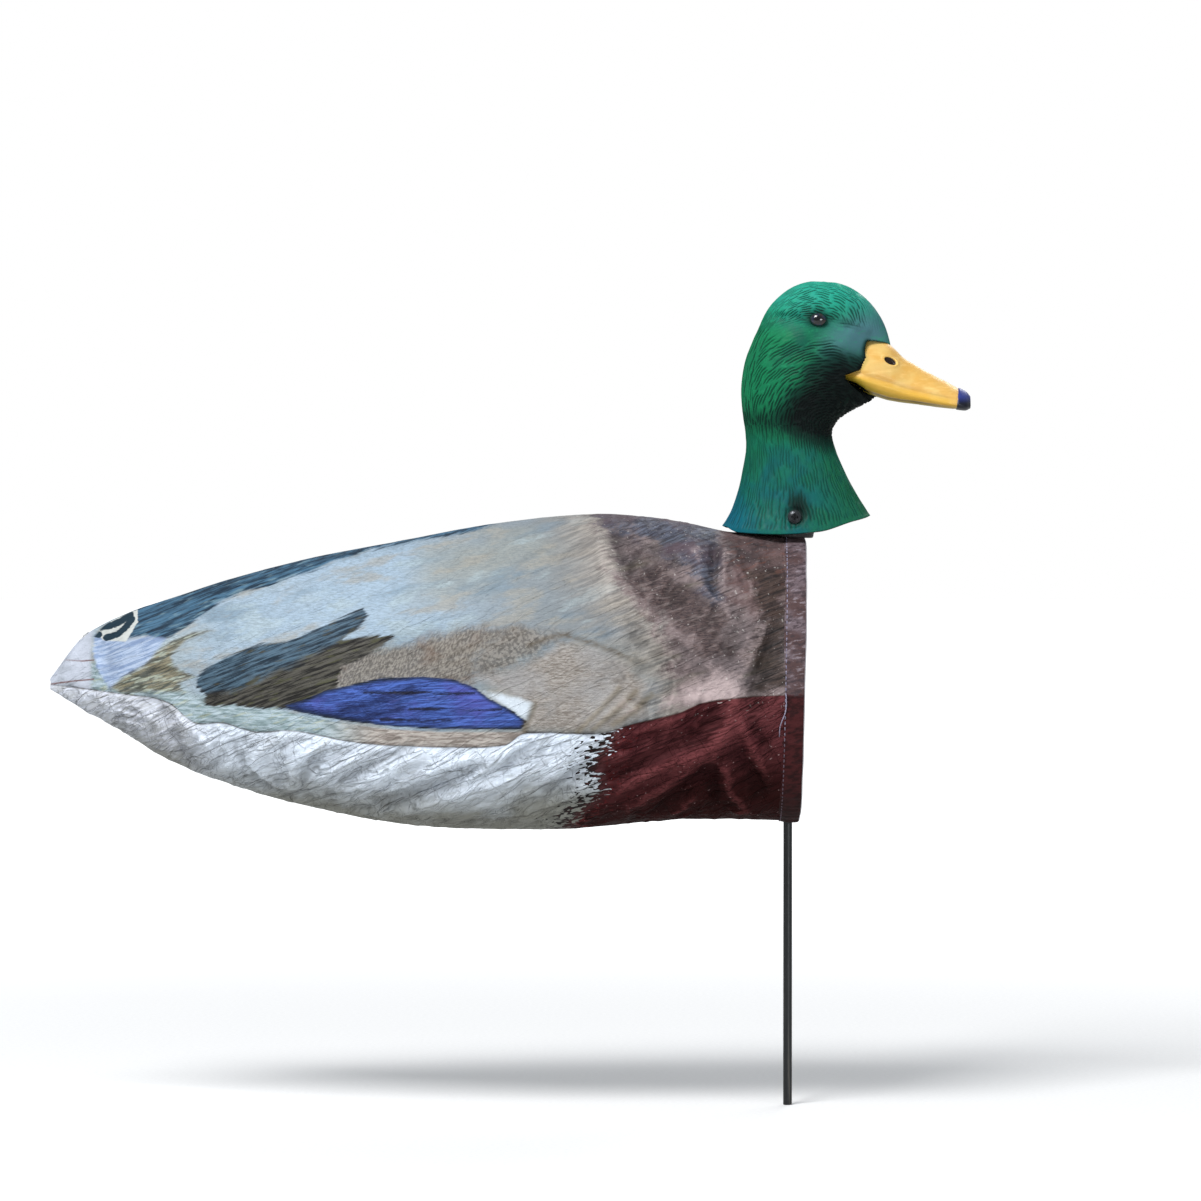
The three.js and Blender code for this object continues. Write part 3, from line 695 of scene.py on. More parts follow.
# Areas of the print in the side view, each drawn round once.
AREAS = {
    "top_band": [
        (-475, 337), (-467, 339), (-459, 339.4), (-454, 335.5), (-446, 338), (-441, 339.4), (-433, 345),
        (-423, 352), (-408, 363), (-390, 371.6), (-373, 375), (-357, 381.5), (-340, 386.5), (-325, 393),
        (-300, 401), (-262, 408), (-225, 414), (-200, 424), (-300, 440), (-400, 430), (-465, 385),
    ],
    "tail_white": [(-502, 345), (-486, 358), (-468, 358), (-467, 349), (-475, 335), (-492, 335.5)],
    "lavender": [
        (-499, 339), (-478, 336), (-459, 339.4), (-446, 337), (-456, 322), (-468, 314), (-477, 309),
        (-486, 300.5), (-494, 314), (-498, 327),
    ],
    "olive": [
        (-486, 302), (-475, 311), (-461, 318), (-452, 328), (-442, 335), (-426, 342), (-411, 344),
        (-430, 337), (-441, 327), (-440, 318), (-424, 311), (-436, 306), (-432, 300), (-456, 300),
        (-478, 298),
    ],
    "primaries": [
        (-423, 310), (-416, 317), (-405, 324), (-390, 329), (-377, 334), (-358, 336), (-340, 344),
        (-325, 350), (-304, 360), (-300, 356), (-304, 349), (-317, 338), (-298, 341), (-281, 341),
        (-291, 332), (-307, 324), (-318, 320), (-321, 312), (-322, 303), (-344, 291), (-360, 289.5),
        (-383, 289), (-396, 291.5), (-410, 289), (-420, 293), (-415, 297), (-423, 303),
    ],
    "primaries_slate": [
        (-428, 309), (-401, 327), (-358, 339), (-325, 353), (-300, 363), (-298, 352), (-310, 345),
        (-324, 335), (-357, 319), (-390, 307), (-416, 297),
    ],
    "speculum": [
        (-362, 290.4), (-346, 295), (-330, 302), (-291, 311), (-262, 312.4), (-240, 311), (-224, 305.2),
        (-214, 297.5), (-199, 289.7), (-187, 281), (-191, 275.5), (-250, 275.5), (-291, 277.7),
        (-317, 281), (-347, 286.2),
    ],
    "wedge": [(-219, 303), (-207, 300), (-193, 297), (-182, 294), (-184, 287), (-187, 281), (-200, 291)],
    "stipple": [
        (-333, 302), (-326, 328), (-308, 333), (-292, 334), (-268, 337), (-239, 344), (-222, 347),
        (-205, 348), (-193, 347), (-212, 334), (-224, 324), (-226, 308), (-250, 306), (-291, 305),
        (-336, 296),
    ],
    "mottle": [
        (-230, 320), (-217, 315), (-196, 320), (-178, 327), (-165, 339), (-158, 343), (-178, 344),
        (-194, 347), (-214, 336),
    ],
    "flank": [
        (-190, 274), (-188, 292), (-205, 303), (-222, 311), (-226, 316), (-205, 316), (-180, 325),
        (-165, 337), (-140, 333), (-118, 324), (-104, 306), (-104, 285), (-132, 273),
    ],
    "front": [
        (-140, 440), (-138, 424), (-130, 392), (-113, 366), (-96, 346), (-84, 325), (-82, 286), (40, 286),
        (40, 440),
    ],
    "blue_grey": [
        (-139, 432), (-50, 428), (-50, 392), (-53, 368), (-62, 372), (-77, 390), (-97, 406), (-116, 414),
        (-132, 418),
    ],
    "umber": [
        (-112, 392), (-92, 392), (-76, 378), (-62, 366), (-48, 348), (-46, 330), (-60, 324), (-84, 342),
        (-104, 362), (-118, 380),
    ],
    "reddish": [(-46, 417), (8, 412), (4, 372), (-10, 352), (-22, 352), (-36, 366), (-46, 384)],
    "dark_patch": [(-32, 388), (-6, 394), (-3, 350), (-4, 306), (-26, 302), (-30, 326), (-20, 350)],
    "pale_spot": [(-88, 296), (-66, 308), (-50, 316), (-38, 312), (-36, 298), (-60, 290)],
}

# Lines of the print, each as one or more paths.
LINES = {
    "curls": [
        [(-495, 345), (-486, 346.8), (-479, 350), (-473, 354)],
        [(-490, 337.6), (-481, 340.6), (-476, 345), (-471.5, 351)], [(-503, 341.5), (-496, 339.5)],
    ],
    "speculum_lines": [
        [(-302, 301), (-262, 301), (-224, 300.6)], [(-270, 290), (-236, 289.2), (-205, 289.8)],
        [(-187, 273), (-165, 271.4), (-140, 272.8)], [(-290, 282), (-262, 281), (-240, 281.6)],
    ],
    "speculum_shade": [
        [(-318, 288), (-300, 292), (-268, 303)], [(-300, 284), (-276, 290)],
        [(-350, 289), (-325, 285), (-300, 281)],
    ],
    "arc": [[(-186, 334), (-170, 340), (-158, 341.5), (-140, 336), (-127, 331), (-114, 325)]],
    "short_lines": [
        [(-119.5, 299), (-114, 296.5), (-107, 294)], [(-521, 321.2), (-509, 320.6), (-497, 321)],
        [(-533, 303.6), (-515, 306), (-498, 308)],
    ],
    "pleats": [
        [(-122, 304), (-136, 289), (-151, 274)], [(-110, 302), (-124, 289), (-140, 276)],
        [(-99, 300), (-112, 288), (-126, 279)], [(-182, 293), (-187, 280), (-189, 273)],
    ],
}

# X of the breast's rear edge for each height.
BREAST_EDGE = profile(
    [(195, -172), (204, -165), (213, -158), (225, -146), (235, -141), (246, -144), (258, -140),
     (273, -132)]
)


def store_print(obj, base, seam, inside):
    """Writes the print's outlines onto a sheet as distances in millimetres."""
    x, z = base[:, 0], base[:, 2]
    store(obj, "place", base * MM)
    store(obj, "inside", inside)
    store(obj, "seam", seam)
    store(obj, "breast", x - BREAST_EDGE(z))
    for name, outline in AREAS.items():
        store(obj, name, inside_by(x, z, outline))
    for name, paths in LINES.items():
        store(obj, name, nearest(x, z, paths))


# ---------------------------------------------------------------- the print's colours


class Print(Net):
    """The printed cloth's net, with the noises that its brushwork and creases are drawn with."""

    def __init__(self):
        super().__init__("printed_cloth")
        at = self.at = self.number("place", "Vector")
        self.forward, self.across, _ = self.axes(at)
        self.seam = self.number("seam")
        self.breast = self.number("breast")
        self.strokes = self.noise(at, (90, 120, 620), detail=3, rough=0.6)
        self.hairs = self.noise(at, (240, 260, 1700), detail=3, rough=0.65, twist=0.6)
        self.mixed = self.noise(at, (50, 60, 80), detail=6, rough=0.75)
        self.slanted = self.noise(at, (38, 110, 600), 0.36, detail=4, rough=0.65)
        self.blotches = self.noise(at, (26, 26, 34), detail=4, rough=0.6)
        self.patches = self.noise(at, (9, 9, 13), detail=3)
        self.clouds = self.noise(at, (14, 16, 60), 0.26, detail=4)
        self.brushed = self.noise(at, (22, 30, 75), 0.3, detail=5, rough=0.6)
        self.dashes = self.noise(at, (75, 130, 460), 0.33)
        self.specks = self.noise(at, (420, 420, 420))
        # Height over the seam, moved by noise; the painted shade on the underside deepens as it falls.
        self.low = self.shifted(self.seam, self.blotches, 46)

    def area(self, name, ragged, soft, noise=None):
        """1 inside a stored outline, with its edge moved in and out by noise."""
        moved = self.shifted(self.number(name), noise or self.strokes, ragged * 2.4)
        return self.rise(moved, -soft, soft)

    def line(self, name, thick, ragged, soft=0.35):
        """1 on a stored path, to a thickness each way that noise changes."""
        moved = self.shifted(self.number(name), self.hairs, ragged * 2)
        return self.rise(moved, thick + soft, thick - soft)

    def two_tone(self, by, low, high, one, other):
        """One colour below low, the other above high."""
        return self.tint(one, by, low, high, other)


def print_back(p):
    """Pale blue-grey, warmer and darker towards the kink, under fine wavy pencilling."""
    wander = p.shifted(p.forward, p.patches, 0.2)
    ground = p.two_tone(wander, -0.31, -0.17, (157, 177, 195), (128, 134, 138))
    ground = p.tint(ground, p.patches, 0.44, 0.62, (158, 162, 155), 0.45)
    ground = p.tint(ground, p.clouds, 0.52, 0.7, (112, 134, 151), 0.7)
    ground = p.tint(ground, p.brushed, 0.5, 0.64, (158, 153, 142), 0.6)
    ground = p.tint(ground, p.brushed, 0.46, 0.34, (168, 184, 190), 0.55)
    ground = p.tint(ground, p.hairs, 0.4, 0.62, (104, 113, 118), 0.42)
    flank = p.two_tone(p.hairs, 0.36, 0.64, (165, 160, 155), (118, 110, 103))
    flank = p.tint(flank, p.blotches, 0.4, 0.7, (154, 156, 160), 0.5)
    body = p.mix(p.area("flank", 6.0, 6.0, p.mixed), ground, flank)
    near_front = p.rise(p.number("front"), -52, 4)
    tan = p.two_tone(p.slanted, 0.36, 0.64, (168, 158, 148), (113, 103, 95))
    return p.mix(p.times(near_front, 0.75), body, tan)


def print_front(p, body):
    """Brown and mauve brushwork between the kink and the hem, with clouds of other colours in it."""
    front = p.two_tone(p.blotches, 0.36, 0.62, (129, 115, 115), (77, 70, 72))
    front = p.tint(front, p.hairs, 0.4, 0.66, (136, 123, 124), 0.45)
    front = p.tint(front, p.mixed, 0.5, 0.66, (74, 62, 62), 0.7)
    front = p.tint(front, p.slanted, 0.5, 0.66, (52, 42, 44), 0.75)
    front = p.tint(front, p.clouds, 0.55, 0.7, (78, 78, 58), 0.6)
    umber = p.two_tone(p.hairs, 0.4, 0.6, (95, 79, 77), (47, 37, 40))
    umber = p.tint(umber, p.dashes, 0.55, 0.68, (131, 118, 116), 0.6)
    blue_grey = p.two_tone(p.slanted, 0.38, 0.6, (86, 95, 112), (46, 50, 63))
    blue_grey = p.tint(blue_grey, p.blotches, 0.46, 0.66, (86, 71, 79), 0.85)
    reddish = p.two_tone(p.blotches, 0.4, 0.62, (97, 76, 76), (56, 46, 47))
    reddish = p.tint(reddish, p.dashes, 0.55, 0.7, (101, 61, 48), 0.6)
    # A dark patch beside the hem.
    dark_patch = p.two_tone(p.slanted, 0.4, 0.6, (67, 54, 48), (25, 23, 22))
    dark_patch = p.tint(dark_patch, p.blotches, 0.54, 0.7, (86, 55, 46), 0.8)
    layers = (
        ("front", 26, 9, 1.0, front), ("umber", 26, 8, 0.8, umber),
        ("blue_grey", 20, 6, 0.85, blue_grey), ("reddish", 22, 8, 0.85, reddish),
        ("dark_patch", 20, 7, 0.85, dark_patch), ("pale_spot", 16, 9, 0.8, (192, 174, 174)),
    )
    for name, ragged, soft, share, colour in layers:
        body = p.mix(p.times(p.area(name, ragged, soft, p.mixed), share), body, colour)
    return body


def print_wing(p, body):
    """The wing's edge: a stippled brown band with its arc, pale strips under it and folded primaries."""
    barbs = p.noise(p.at, (820, 400, 360), -0.5, detail=4)
    stipple = p.two_tone(barbs, 0.36, 0.62, (138, 131, 122), (93, 85, 77))
    stipple = p.tint(stipple, p.blotches, 0.5, 0.66, (104, 74, 50), 0.5)
    body = p.mix(p.times(p.area("stipple", 9, 6.0, p.mixed), 0.9), body, stipple)
    mottle = p.two_tone(p.specks, 0.42, 0.58, (132, 126, 119), (92, 86, 80))
    body = p.mix(p.times(p.area("mottle", 7, 5.0, p.mixed), 0.85), body, mottle)
    broken = p.times(p.line("arc", 1.3, 3.5, 2.2), p.rise(p.mixed, 0.3, 0.55, 0.3, 0.85))
    body = p.mix(broken, body, (84, 74, 60))

    under = p.rise(p.seam, 24, 14)
    behind = p.rise(p.number("speculum"), -1, -3)
    rearward = p.rise(p.forward, -0.184, -0.192)
    strip = p.two_tone(p.strokes, 0.4, 0.62, (180, 173, 167), (133, 124, 118))
    green_grey = p.two_tone(p.strokes, 0.38, 0.62, (172, 189, 198), (127, 146, 150))
    green_grey = p.tint(green_grey, p.dashes, 0.55, 0.7, (192, 190, 138), 0.3)
    strip = p.tint(green_grey, p.forward, -0.34, -0.29, strip)
    body = p.mix(p.times(under, behind, rearward), body, strip)

    brown = p.two_tone(p.slanted, 0.4, 0.6, (83, 81, 75), (34, 33, 32))
    brown = p.tint(brown, p.dashes, 0.55, 0.68, (79, 80, 57), 0.6)
    slate = p.two_tone(p.slanted, 0.38, 0.6, (79, 103, 121), (32, 46, 59))
    slate = p.tint(slate, p.dashes, 0.56, 0.7, (70, 64, 46), 0.7)
    quills = p.mix(p.area("primaries_slate", 9, 3, p.brushed), brown, slate)
    return p.mix(p.area("primaries", 3.6, 1.2, p.slanted), body, quills)


def print_speculum(p, body):
    """The blue patch with its dark rim and barbs, and the white wedge in front of it."""
    level = p.noise(p.at, (60, 120, 900), 0.07, detail=4, rough=0.6)
    blue = p.two_tone(level, 0.38, 0.62, (76, 106, 186), (37, 51, 104))
    blue = p.tint(blue, level, 0.56, 0.7, (92, 115, 200), 0.5)
    blue = p.tint(blue, p.blotches, 0.48, 0.7, (84, 84, 168), 0.5)
    blue = p.mix(p.times(p.line("speculum_shade", 3.4, 6, 4), 0.85), blue, (20, 28, 66))
    rim = p.rise(p.number("speculum"), 3.6, 0.6)
    rim = p.math("MAXIMUM", p.times(rim, 0.75), p.times(rim, p.rise(level, 0.45, 0.6)))
    blue = p.mix(rim, blue, (26, 34, 46))
    body = p.mix(p.area("wedge", 3.0, 2.2, p.mixed), body, (204, 214, 224))
    body = p.mix(p.area("speculum", 1.6, 0.7, level), body, blue)
    return p.mix(p.times(p.line("speculum_lines", 1.2, 1.6, 0.6), 0.9), body, (22, 22, 36))


def print_tail(p, body):
    """Slate back band, curled feathers, pale under-tail and an olive streak."""
    band = p.two_tone(p.slanted, 0.36, 0.62, (70, 106, 132), (29, 46, 62))
    band = p.tint(band, p.dashes, 0.56, 0.72, (108, 134, 146), 0.7)
    body = p.mix(p.area("top_band", 3.0, 1.2, p.slanted), body, band)
    lavender = p.two_tone(p.slanted, 0.38, 0.62, (168, 183, 206), (123, 142, 174))
    body = p.mix(p.area("lavender", 2.4, 1.8, p.slanted), body, lavender)
    olive = p.two_tone(p.slanted, 0.4, 0.58, (135, 125, 96), (60, 57, 39))
    olive = p.tint(olive, p.dashes, 0.52, 0.66, (169, 176, 160), 0.8)
    body = p.mix(p.times(p.area("olive", 4.5, 2.0, p.slanted), 0.85), body, olive)
    facet = p.two_tone(p.blotches, 0.4, 0.65, (185, 191, 204), (136, 142, 150))
    body = p.tint(body, p.forward, -0.498, -0.503, facet)
    off_ridge = p.rise(p.math("ABSOLUTE", p.across), 0.0025, 0.0045)
    body = p.mix(p.times(p.area("tail_white", 0.8, 0.5), off_ridge), body, (189, 193, 190))
    body = p.mix(p.times(p.line("curls", 2.5, 1.0), off_ridge), body, (30, 50, 62))
    body = p.mix(p.times(p.line("short_lines", 0.5, 0.5), 0.85), body, (104, 62, 52))
    return p.mix(p.times(p.line("pleats", 1.8, 2.6, 2.2), 0.5), body, (96, 82, 48))


def print_belly(p):
    """White towards the tail and the maroon breast with its ragged edge, both darkened underneath by
    painted shade, the white to olive-grey.
    """
    white = p.two_tone(p.blotches, 0.35, 0.65, (224, 235, 250), (202, 211, 223))
    white = p.tint(white, p.dashes, 0.5, 0.7, (161, 167, 170), 0.4)
    grubby = p.two_tone(p.slanted, 0.38, 0.6, (206, 209, 222), (168, 168, 170))
    white = p.tint(white, p.forward, -0.40, -0.44, grubby, 0.7)
    # Painted shade underneath: the white turns olive-grey below the seam.
    white = p.tint(white, p.low, -18, -56, (115, 113, 101), 0.9)
    breast = p.two_tone(p.blotches, 0.36, 0.64, (100, 53, 56), (66, 30, 33))
    breast = p.tint(breast, p.slanted, 0.48, 0.66, (40, 16, 18), 0.75)
    # Painted shade underneath: the breast darkens below the seam.
    breast = p.tint(breast, p.low, -24, -70, (37, 12, 11), 0.92)
    fleck = p.times(p.rise(p.specks, 0.66, 0.7), p.rise(p.dashes, 0.52, 0.62), 0.6)
    breast = p.mix(fleck, breast, (158, 130, 130))
    dabs = p.noise(p.at, (190, 130, 560), 0.2, detail=1.0, twist=0.3)
    edge = p.shifted(p.breast, dabs, 80)
    fringe = p.two_tone(p.breast, 0, 14, (28, 22, 22), (80, 30, 32))
    belly = p.tint(white, edge, -0.6, 0.6, fringe)
    return p.tint(belly, edge, 11, 13, breast)


def print_creases(p, colour):
    """Painted shade along one side of each small crease; also the creases' own height, for the relief."""
    def crease(scale, turn):
        value = p.noise(p.at, scale, turn, detail=2.5, rough=0.55, twist=0.4)
        return p.math("SUBTRACT", value, 0.5)

    def ridge(offset, thin):
        return p.rise(p.math("ABSOLUTE", offset), thin, 0.0)

    def shade_side(offset):
        return p.times(p.rise(offset, 0.0, -0.02), p.rise(offset, -0.07, -0.02))

    slack = p.rise(p.seam, 3, -4, 0.25, 1.0)
    long_crease = crease((13, 24, 84), 0.44)
    short_crease = crease((34, 52, 150), 0.62)
    cross_crease = crease((60, 40, 34), 0.3)
    # Painted shade on the shaded side of each crease, darkening the colour.
    grey = p.math("MULTIPLY_ADD", shade_side(short_crease), 0.5, shade_side(long_crease))
    grey = p.times(grey, slack, p.rise(p.mixed, 0.4, 0.58, 0.1, 0.6))
    lines = p.math("MULTIPLY_ADD", ridge(short_crease, 0.06), 0.4, ridge(long_crease, 0.05))
    lines = p.math("MULTIPLY_ADD", ridge(cross_crease, 0.04), 0.45, lines)
    return p.mix(grey, colour, (0.56, 0.55, 0.53, 1), "MULTIPLY"), p.times(lines, slack)


def print_fold_light(p, colour):
    """Painted shade in the folds and painted highlights along their crests, with paler crests on the dark
    print.
    """
    fold = p.number("fold")
    on_breast = p.rise(p.breast, 4, 14)
    on_dark = p.math("MAXIMUM", on_breast, p.rise(p.number("front"), -20, 6))
    # Painted shade in the folds, deeper on the dark print.
    hollow = p.times(p.rise(fold, -0.1, -1.7), p.rise(on_dark, 0, 1, 0.75, 1.0))
    colour = p.mix(hollow, colour, (0.6, 0.6, 0.6, 1), "MULTIPLY")
    # Painted highlight on the crests.
    colour = p.mix(p.rise(fold, 0.3, 2.0), colour, (1.16, 1.16, 1.16, 1), "MULTIPLY")
    # A paler painted highlight along the crests on the dark print.
    crest = p.rise(p.shifted(fold, p.mixed, 5.0), 0.9, 2.9)
    crest_highlight = p.times(crest, on_dark, p.rise(p.hairs, 0.38, 0.6, 0.04, 0.38))
    crest_highlight_colour = p.two_tone(p.seam, 1, -1, (168, 152, 152), (128, 70, 72))
    return p.mix(crest_highlight, colour, crest_highlight_colour)


def print_cloth():
    """The printed bird: flat shapes with ragged brushed edges, on spun fabric with fine ribs."""
    p = Print()
    body = print_tail(p, print_speculum(p, print_wing(p, print_front(p, print_back(p)))))
    colour = p.tint(body, p.seam, 0.4, -0.4, print_belly(p))
    # A dark line along the seam: its stitching, and painted shade in the seam's groove.
    from_seam = p.math("ABSOLUTE", p.seam)
    seam_line_and_shade = p.times(p.rise(from_seam, 0.9, 0.2), 0.65, p.rise(p.mixed, 0.4, 0.56, 0.3, 1.0))
    colour = p.mix(seam_line_and_shade, colour, (60, 50, 46))
    flecks = p.times(p.rise(p.specks, 0.67, 0.72), p.rise(p.number("front"), -8, 4, 0.0, 0.3))
    colour = p.mix(flecks, colour, (222, 218, 214))
    colour, crease_lines = print_creases(p, colour)
    colour = print_fold_light(p, colour)

    # Inside, the print shows faintly through the white sheet.
    lining = p.mix(0.2, (216, 217, 218), colour)
    colour = p.mix(p.number("inside"), colour, lining)

    fibres = p.noise(p.at, (500, 700, 1500), detail=4, rough=0.7)
    small = p.noise(p.at, (55, 55, 90), detail=5, rough=0.62)
    ribs = p.node("TexWave")
    ribs.bands_direction = "Z"
    for name, value in (("Scale", 250), ("Distortion", 5), ("Detail Scale", 0.6), ("Vector", p.at)):
        p.put(ribs.inputs[name], value)
    normal = p.bump(crease_lines, 0.9, 0.0016)
    normal = p.bump(small, 0.5, 0.0025, normal)
    normal = p.bump(ribs.outputs["Fac"], 0.12, 0.0004, normal)
    normal = p.bump(fibres, 0.35, 0.0004, normal)
    roughness = p.rise(small, 0.3, 0.7, 0.5, 0.72)
    maroon = p.times(p.rise(p.breast, 8, 16), p.rise(p.seam, 1, -1))
    shine = p.rise(maroon, 0, 1, 0.16, 0.03)
    return p.finish(Base_Color=colour, Roughness=roughness, Normal=normal, Specular_IOR_Level=shine)


def build_sock():
    """Two sheets that meet at the crease over the arch."""
    base, grid, normal, seam, fold = sock_grid()
    cut = int(np.argmin(np.abs(base[:, 0, 0] - CREASE_X)))
    material = print_cloth()
    pieces = []
    for name, rows in (("sock_front", slice(0, cut + 1)), ("sock_rear", slice(cut, None))):
        outer, out = grid[rows], normal[rows]
        obj = shell(name, outer, outer - out * FABRIC)
        count = outer.shape[0] * outer.shape[1]
        inside = np.repeat([0.0, 1.0], count)
        store(obj, "fold", np.tile(fold[rows].ravel(), 2))
        store_print(obj, np.tile(base[rows].reshape(-1, 3), (2, 1)), np.tile(seam[rows].ravel(), 2), inside)
        face_out(obj)
        split = np.vstack([out.reshape(-1, 3), -out.reshape(-1, 3)])
        obj.data.normals_split_custom_set_from_vertices([tuple(v) for v in split])
        obj.data.materials.append(material)
        pieces.append(obj)
    return pieces


# ---------------------------------------------------------------- hem


def hem_cloth():
    """The folded hem: mauve print with dark and rusty dabs above, maroon below that darkens towards the
    bottom as painted shade, and a white cut edge.
    """
    net = Net("hem_cloth")
    at = net.place()
    height = net.axes(at)[2]
    dabs = net.noise(at, (150, 190, 420), 0.2, detail=4, rough=0.65)
    clouds = net.noise(at, (40, 40, 70), detail=4)
    fibres = net.noise(at, (500, 500, 1500), detail=4, rough=0.7)
    upper = net.tint((106, 93, 99), clouds, 0.38, 0.6, (80, 61, 61))
    upper = net.tint(upper, dabs, 0.5, 0.6, (62, 52, 56), 0.85)
    upper = net.tint(upper, dabs, 0.44, 0.34, (159, 150, 159), 0.45)
    lower = net.tint((64, 23, 25), dabs, 0.42, 0.62, (38, 10, 12))
    # Painted shade: darker towards the bottom of the mouth.
    lower = net.tint(lower, height, 0.25, 0.205, (26, 8, 8), 0.75)
    shade = net.tint(lower, net.shifted(height, dabs, 0.008), 0.2985, 0.3005, upper)
    shade = net.tint(shade, net.number("cut_edge"), 0.35, 0.75, (206, 202, 206), 0.85)
    shade = net.mix(net.number("inside"), shade, (205, 204, 204))
    normal = net.bump(fibres, 0.4, 0.0005)
    return net.finish(Base_Color=shade, Roughness=0.66, Normal=normal, Specular_IOR_Level=0.15)


# The folded band cut across: how far along X from its middle, and how deep under the sock's surface.
HEM_SECTION = [
    (-8, 0.9), (-8, 0.1), (-7.2, -0.1), (-6.3, -0.15), (-5.2, -0.8), (-2, -1.25), (2, -1.3),
    (5.5, -1.1), (7.4, -0.6), (8, 0.6), (7.9, 2.4), (7.2, 3.9), (5.4, 4.7), (1, 4.5),
    (-3, 3.4), (-6, 2.1), (-7.6, 1.5),
]


def build_hem():
    """The fabric folded over the hoop: a flattened ring with puckers beside its stitching."""
    count, steps, reach = (560), 40, 10.0
    angle = closed_turn(count)
    loop = np.array(HEM_SECTION + HEM_SECTION[:1])
    t = np.linspace(0, len(HEM_SECTION), steps + 1)[:-1]
    along, depth = (np.interp(t, range(len(loop)), loop[:, k]) for k in (0, 1))
    middle = mouth_x(angle)
    circle = np.stack([np.cos(angle), np.sin(angle), np.ones(count)], axis=-1)
    wave = 0.7 * soft_noise(circle * (4, 4, 1.7))
    pucker = soft_noise(circle * (24, 24, 5.1))
    grid = np.empty((count, steps, 3))
    for j, (dx, deep) in enumerate(zip(along, depth)):
        rise = (0.55 * pucker * (1 + dx / 14) if deep < 0.5 else 0) + 0.4 * wave
        x = middle + dx + wave * (0.5 if dx > 5 else 0.2)
        ring = sock_point(x, angle)
        inward = (sock_point(x, angle, reach) - ring) / reach
        grid[:, j] = ring + inward * (deep - rise)[:, None]
    obj = face_out(new_object("hem", grid.reshape(-1, 3), torus_faces(count, steps)))
    store(obj, "cut_edge", np.tile(smooth(along, 6.6, 7.9) * (depth < 1.2), count))
    store(obj, "inside", np.tile((depth > 1.6).astype(float), count))
    obj.data.materials.append(hem_cloth())
    return obj


def spun_thread():
    """Mauve thread, darker below the seam."""
    net = Net("spun_thread")
    at = net.place()
    twist = net.noise(at, (1800, 1800, 1800))
    shade = net.tint((158, 153, 172), twist, 0.35, 0.65, (100, 94, 118))
    shade = net.tint(shade, net.axes(at)[2], 0.285, 0.262, (60, 26, 30), 0.75)
    return net.finish(Base_Color=shade, Roughness=0.7, Normal=net.bump(twist, 0.4, 0.0002))


def build_stitches(material):
    """One short raised thread for each stitch along the hem."""
    angle = np.linspace(0, FULL_TURN, 2000)
    ring = sock_point(mouth_x(angle) + STITCH_OFFSET, angle, -0.5)
    run = np.r_[0, np.cumsum(np.linalg.norm(np.diff(ring, axis=0), axis=1))]
    pitch, length, sides = 4.0, 2.9, 8
    lifts = np.array([0.0, 0.35, 0.5, 0.5, 0.35, 0.0])
    radii = np.array([0.16, 0.38, 0.42, 0.42, 0.38, 0.16])
    turn = closed_turn(sides)[:, None]
    verts, faces = [], []
    for k in range(int(run[-1] / pitch)):
        a = np.interp(k * pitch + np.linspace(0, length, len(lifts)), run, angle)
        x = mouth_x(a) + STITCH_OFFSET
        top = sock_point(x, a)
        out = top - sock_point(x, a, 5.0)
        out /= np.linalg.norm(out, axis=1, keepdims=True)
        start = len(verts)
        for centre, up, radius in zip(top + out * lifts[:, None], out, radii):
            verts.extend(centre + radius * (np.cos(turn) * (1, 0, 0) + np.sin(turn) * up))
        faces.extend(ring_faces(len(lifts), sides, start))
        faces.append([start + j for j in reversed(range(sides))])
        faces.append([len(verts) - sides + j for j in range(sides)])
    obj = face_out(new_object("hem_stitches", verts, faces))
    obj.data.materials.append(material)
    return obj


def build_loose_thread(material):
    """The thread's cut end, hanging from the stitching a little below the seam."""
    t = np.linspace(0, 1, 24)
    angle = math.pi / 2 * (0.97 + 0.17 * t)
    x = mouth_x(angle) + STITCH_OFFSET - 4.5 * t**1.5 + 0.9 * np.sin(7 * t)
    obj = tube("loose_thread", sock_point(x, angle, -1.5), 0.4)
    obj.data.materials.append(material)
    return obj


# ---------------------------------------------------------------- head

# Stations up the neck and over the head: front X and Z, back X and Z, half width.
HEAD_STATIONS = [
    (66, 410, -52, 406, 38), (59, 425, -46.8, 418, 34), (52.3, 435.6, -40.6, 430, 30.5),
    (45.4, 448, -35.3, 446.6, 27), (39.2, 460.4, -31.7, 463.1, 25), (34.4, 471.4, -30.4, 474, 24),
    (31.5, 484, -31, 486, 24.4), (36, 493.4, -32.2, 496, 26.3), (48, 501.5, -33.3, 506, 28.5),
    (60.6, 508.6, -33.8, 516, 30.3), (71, 519, -33, 525.5, 31.3), (75.5, 534, -30.6, 537, 31),
    (73.5, 548, -26.4, 548.5, 29.3), (69.5, 561, -21.6, 560, 26.8), (64.8, 570.5, -15.5, 572, 24.2),
    (57.9, 579.6, -7, 582.5, 20.6), (47, 588, 3, 589.5, 15), (36, 592.6, 15, 593.2, 8.2),
    (28.5, 593.3, 22.5, 593.3, 2.6),
]
# One more station below the skirt, in line with the first two.
BELOW_SKIRT = tuple(2 * a - b for a, b in zip(HEAD_STATIONS[0], HEAD_STATIONS[1]))
head_tracks = [profile(enumerate(column, start=-1)) for column in zip(BELOW_SKIRT, *HEAD_STATIONS)]
# Centre of the eye in the side view.
EYE = (20.7, 565.5)


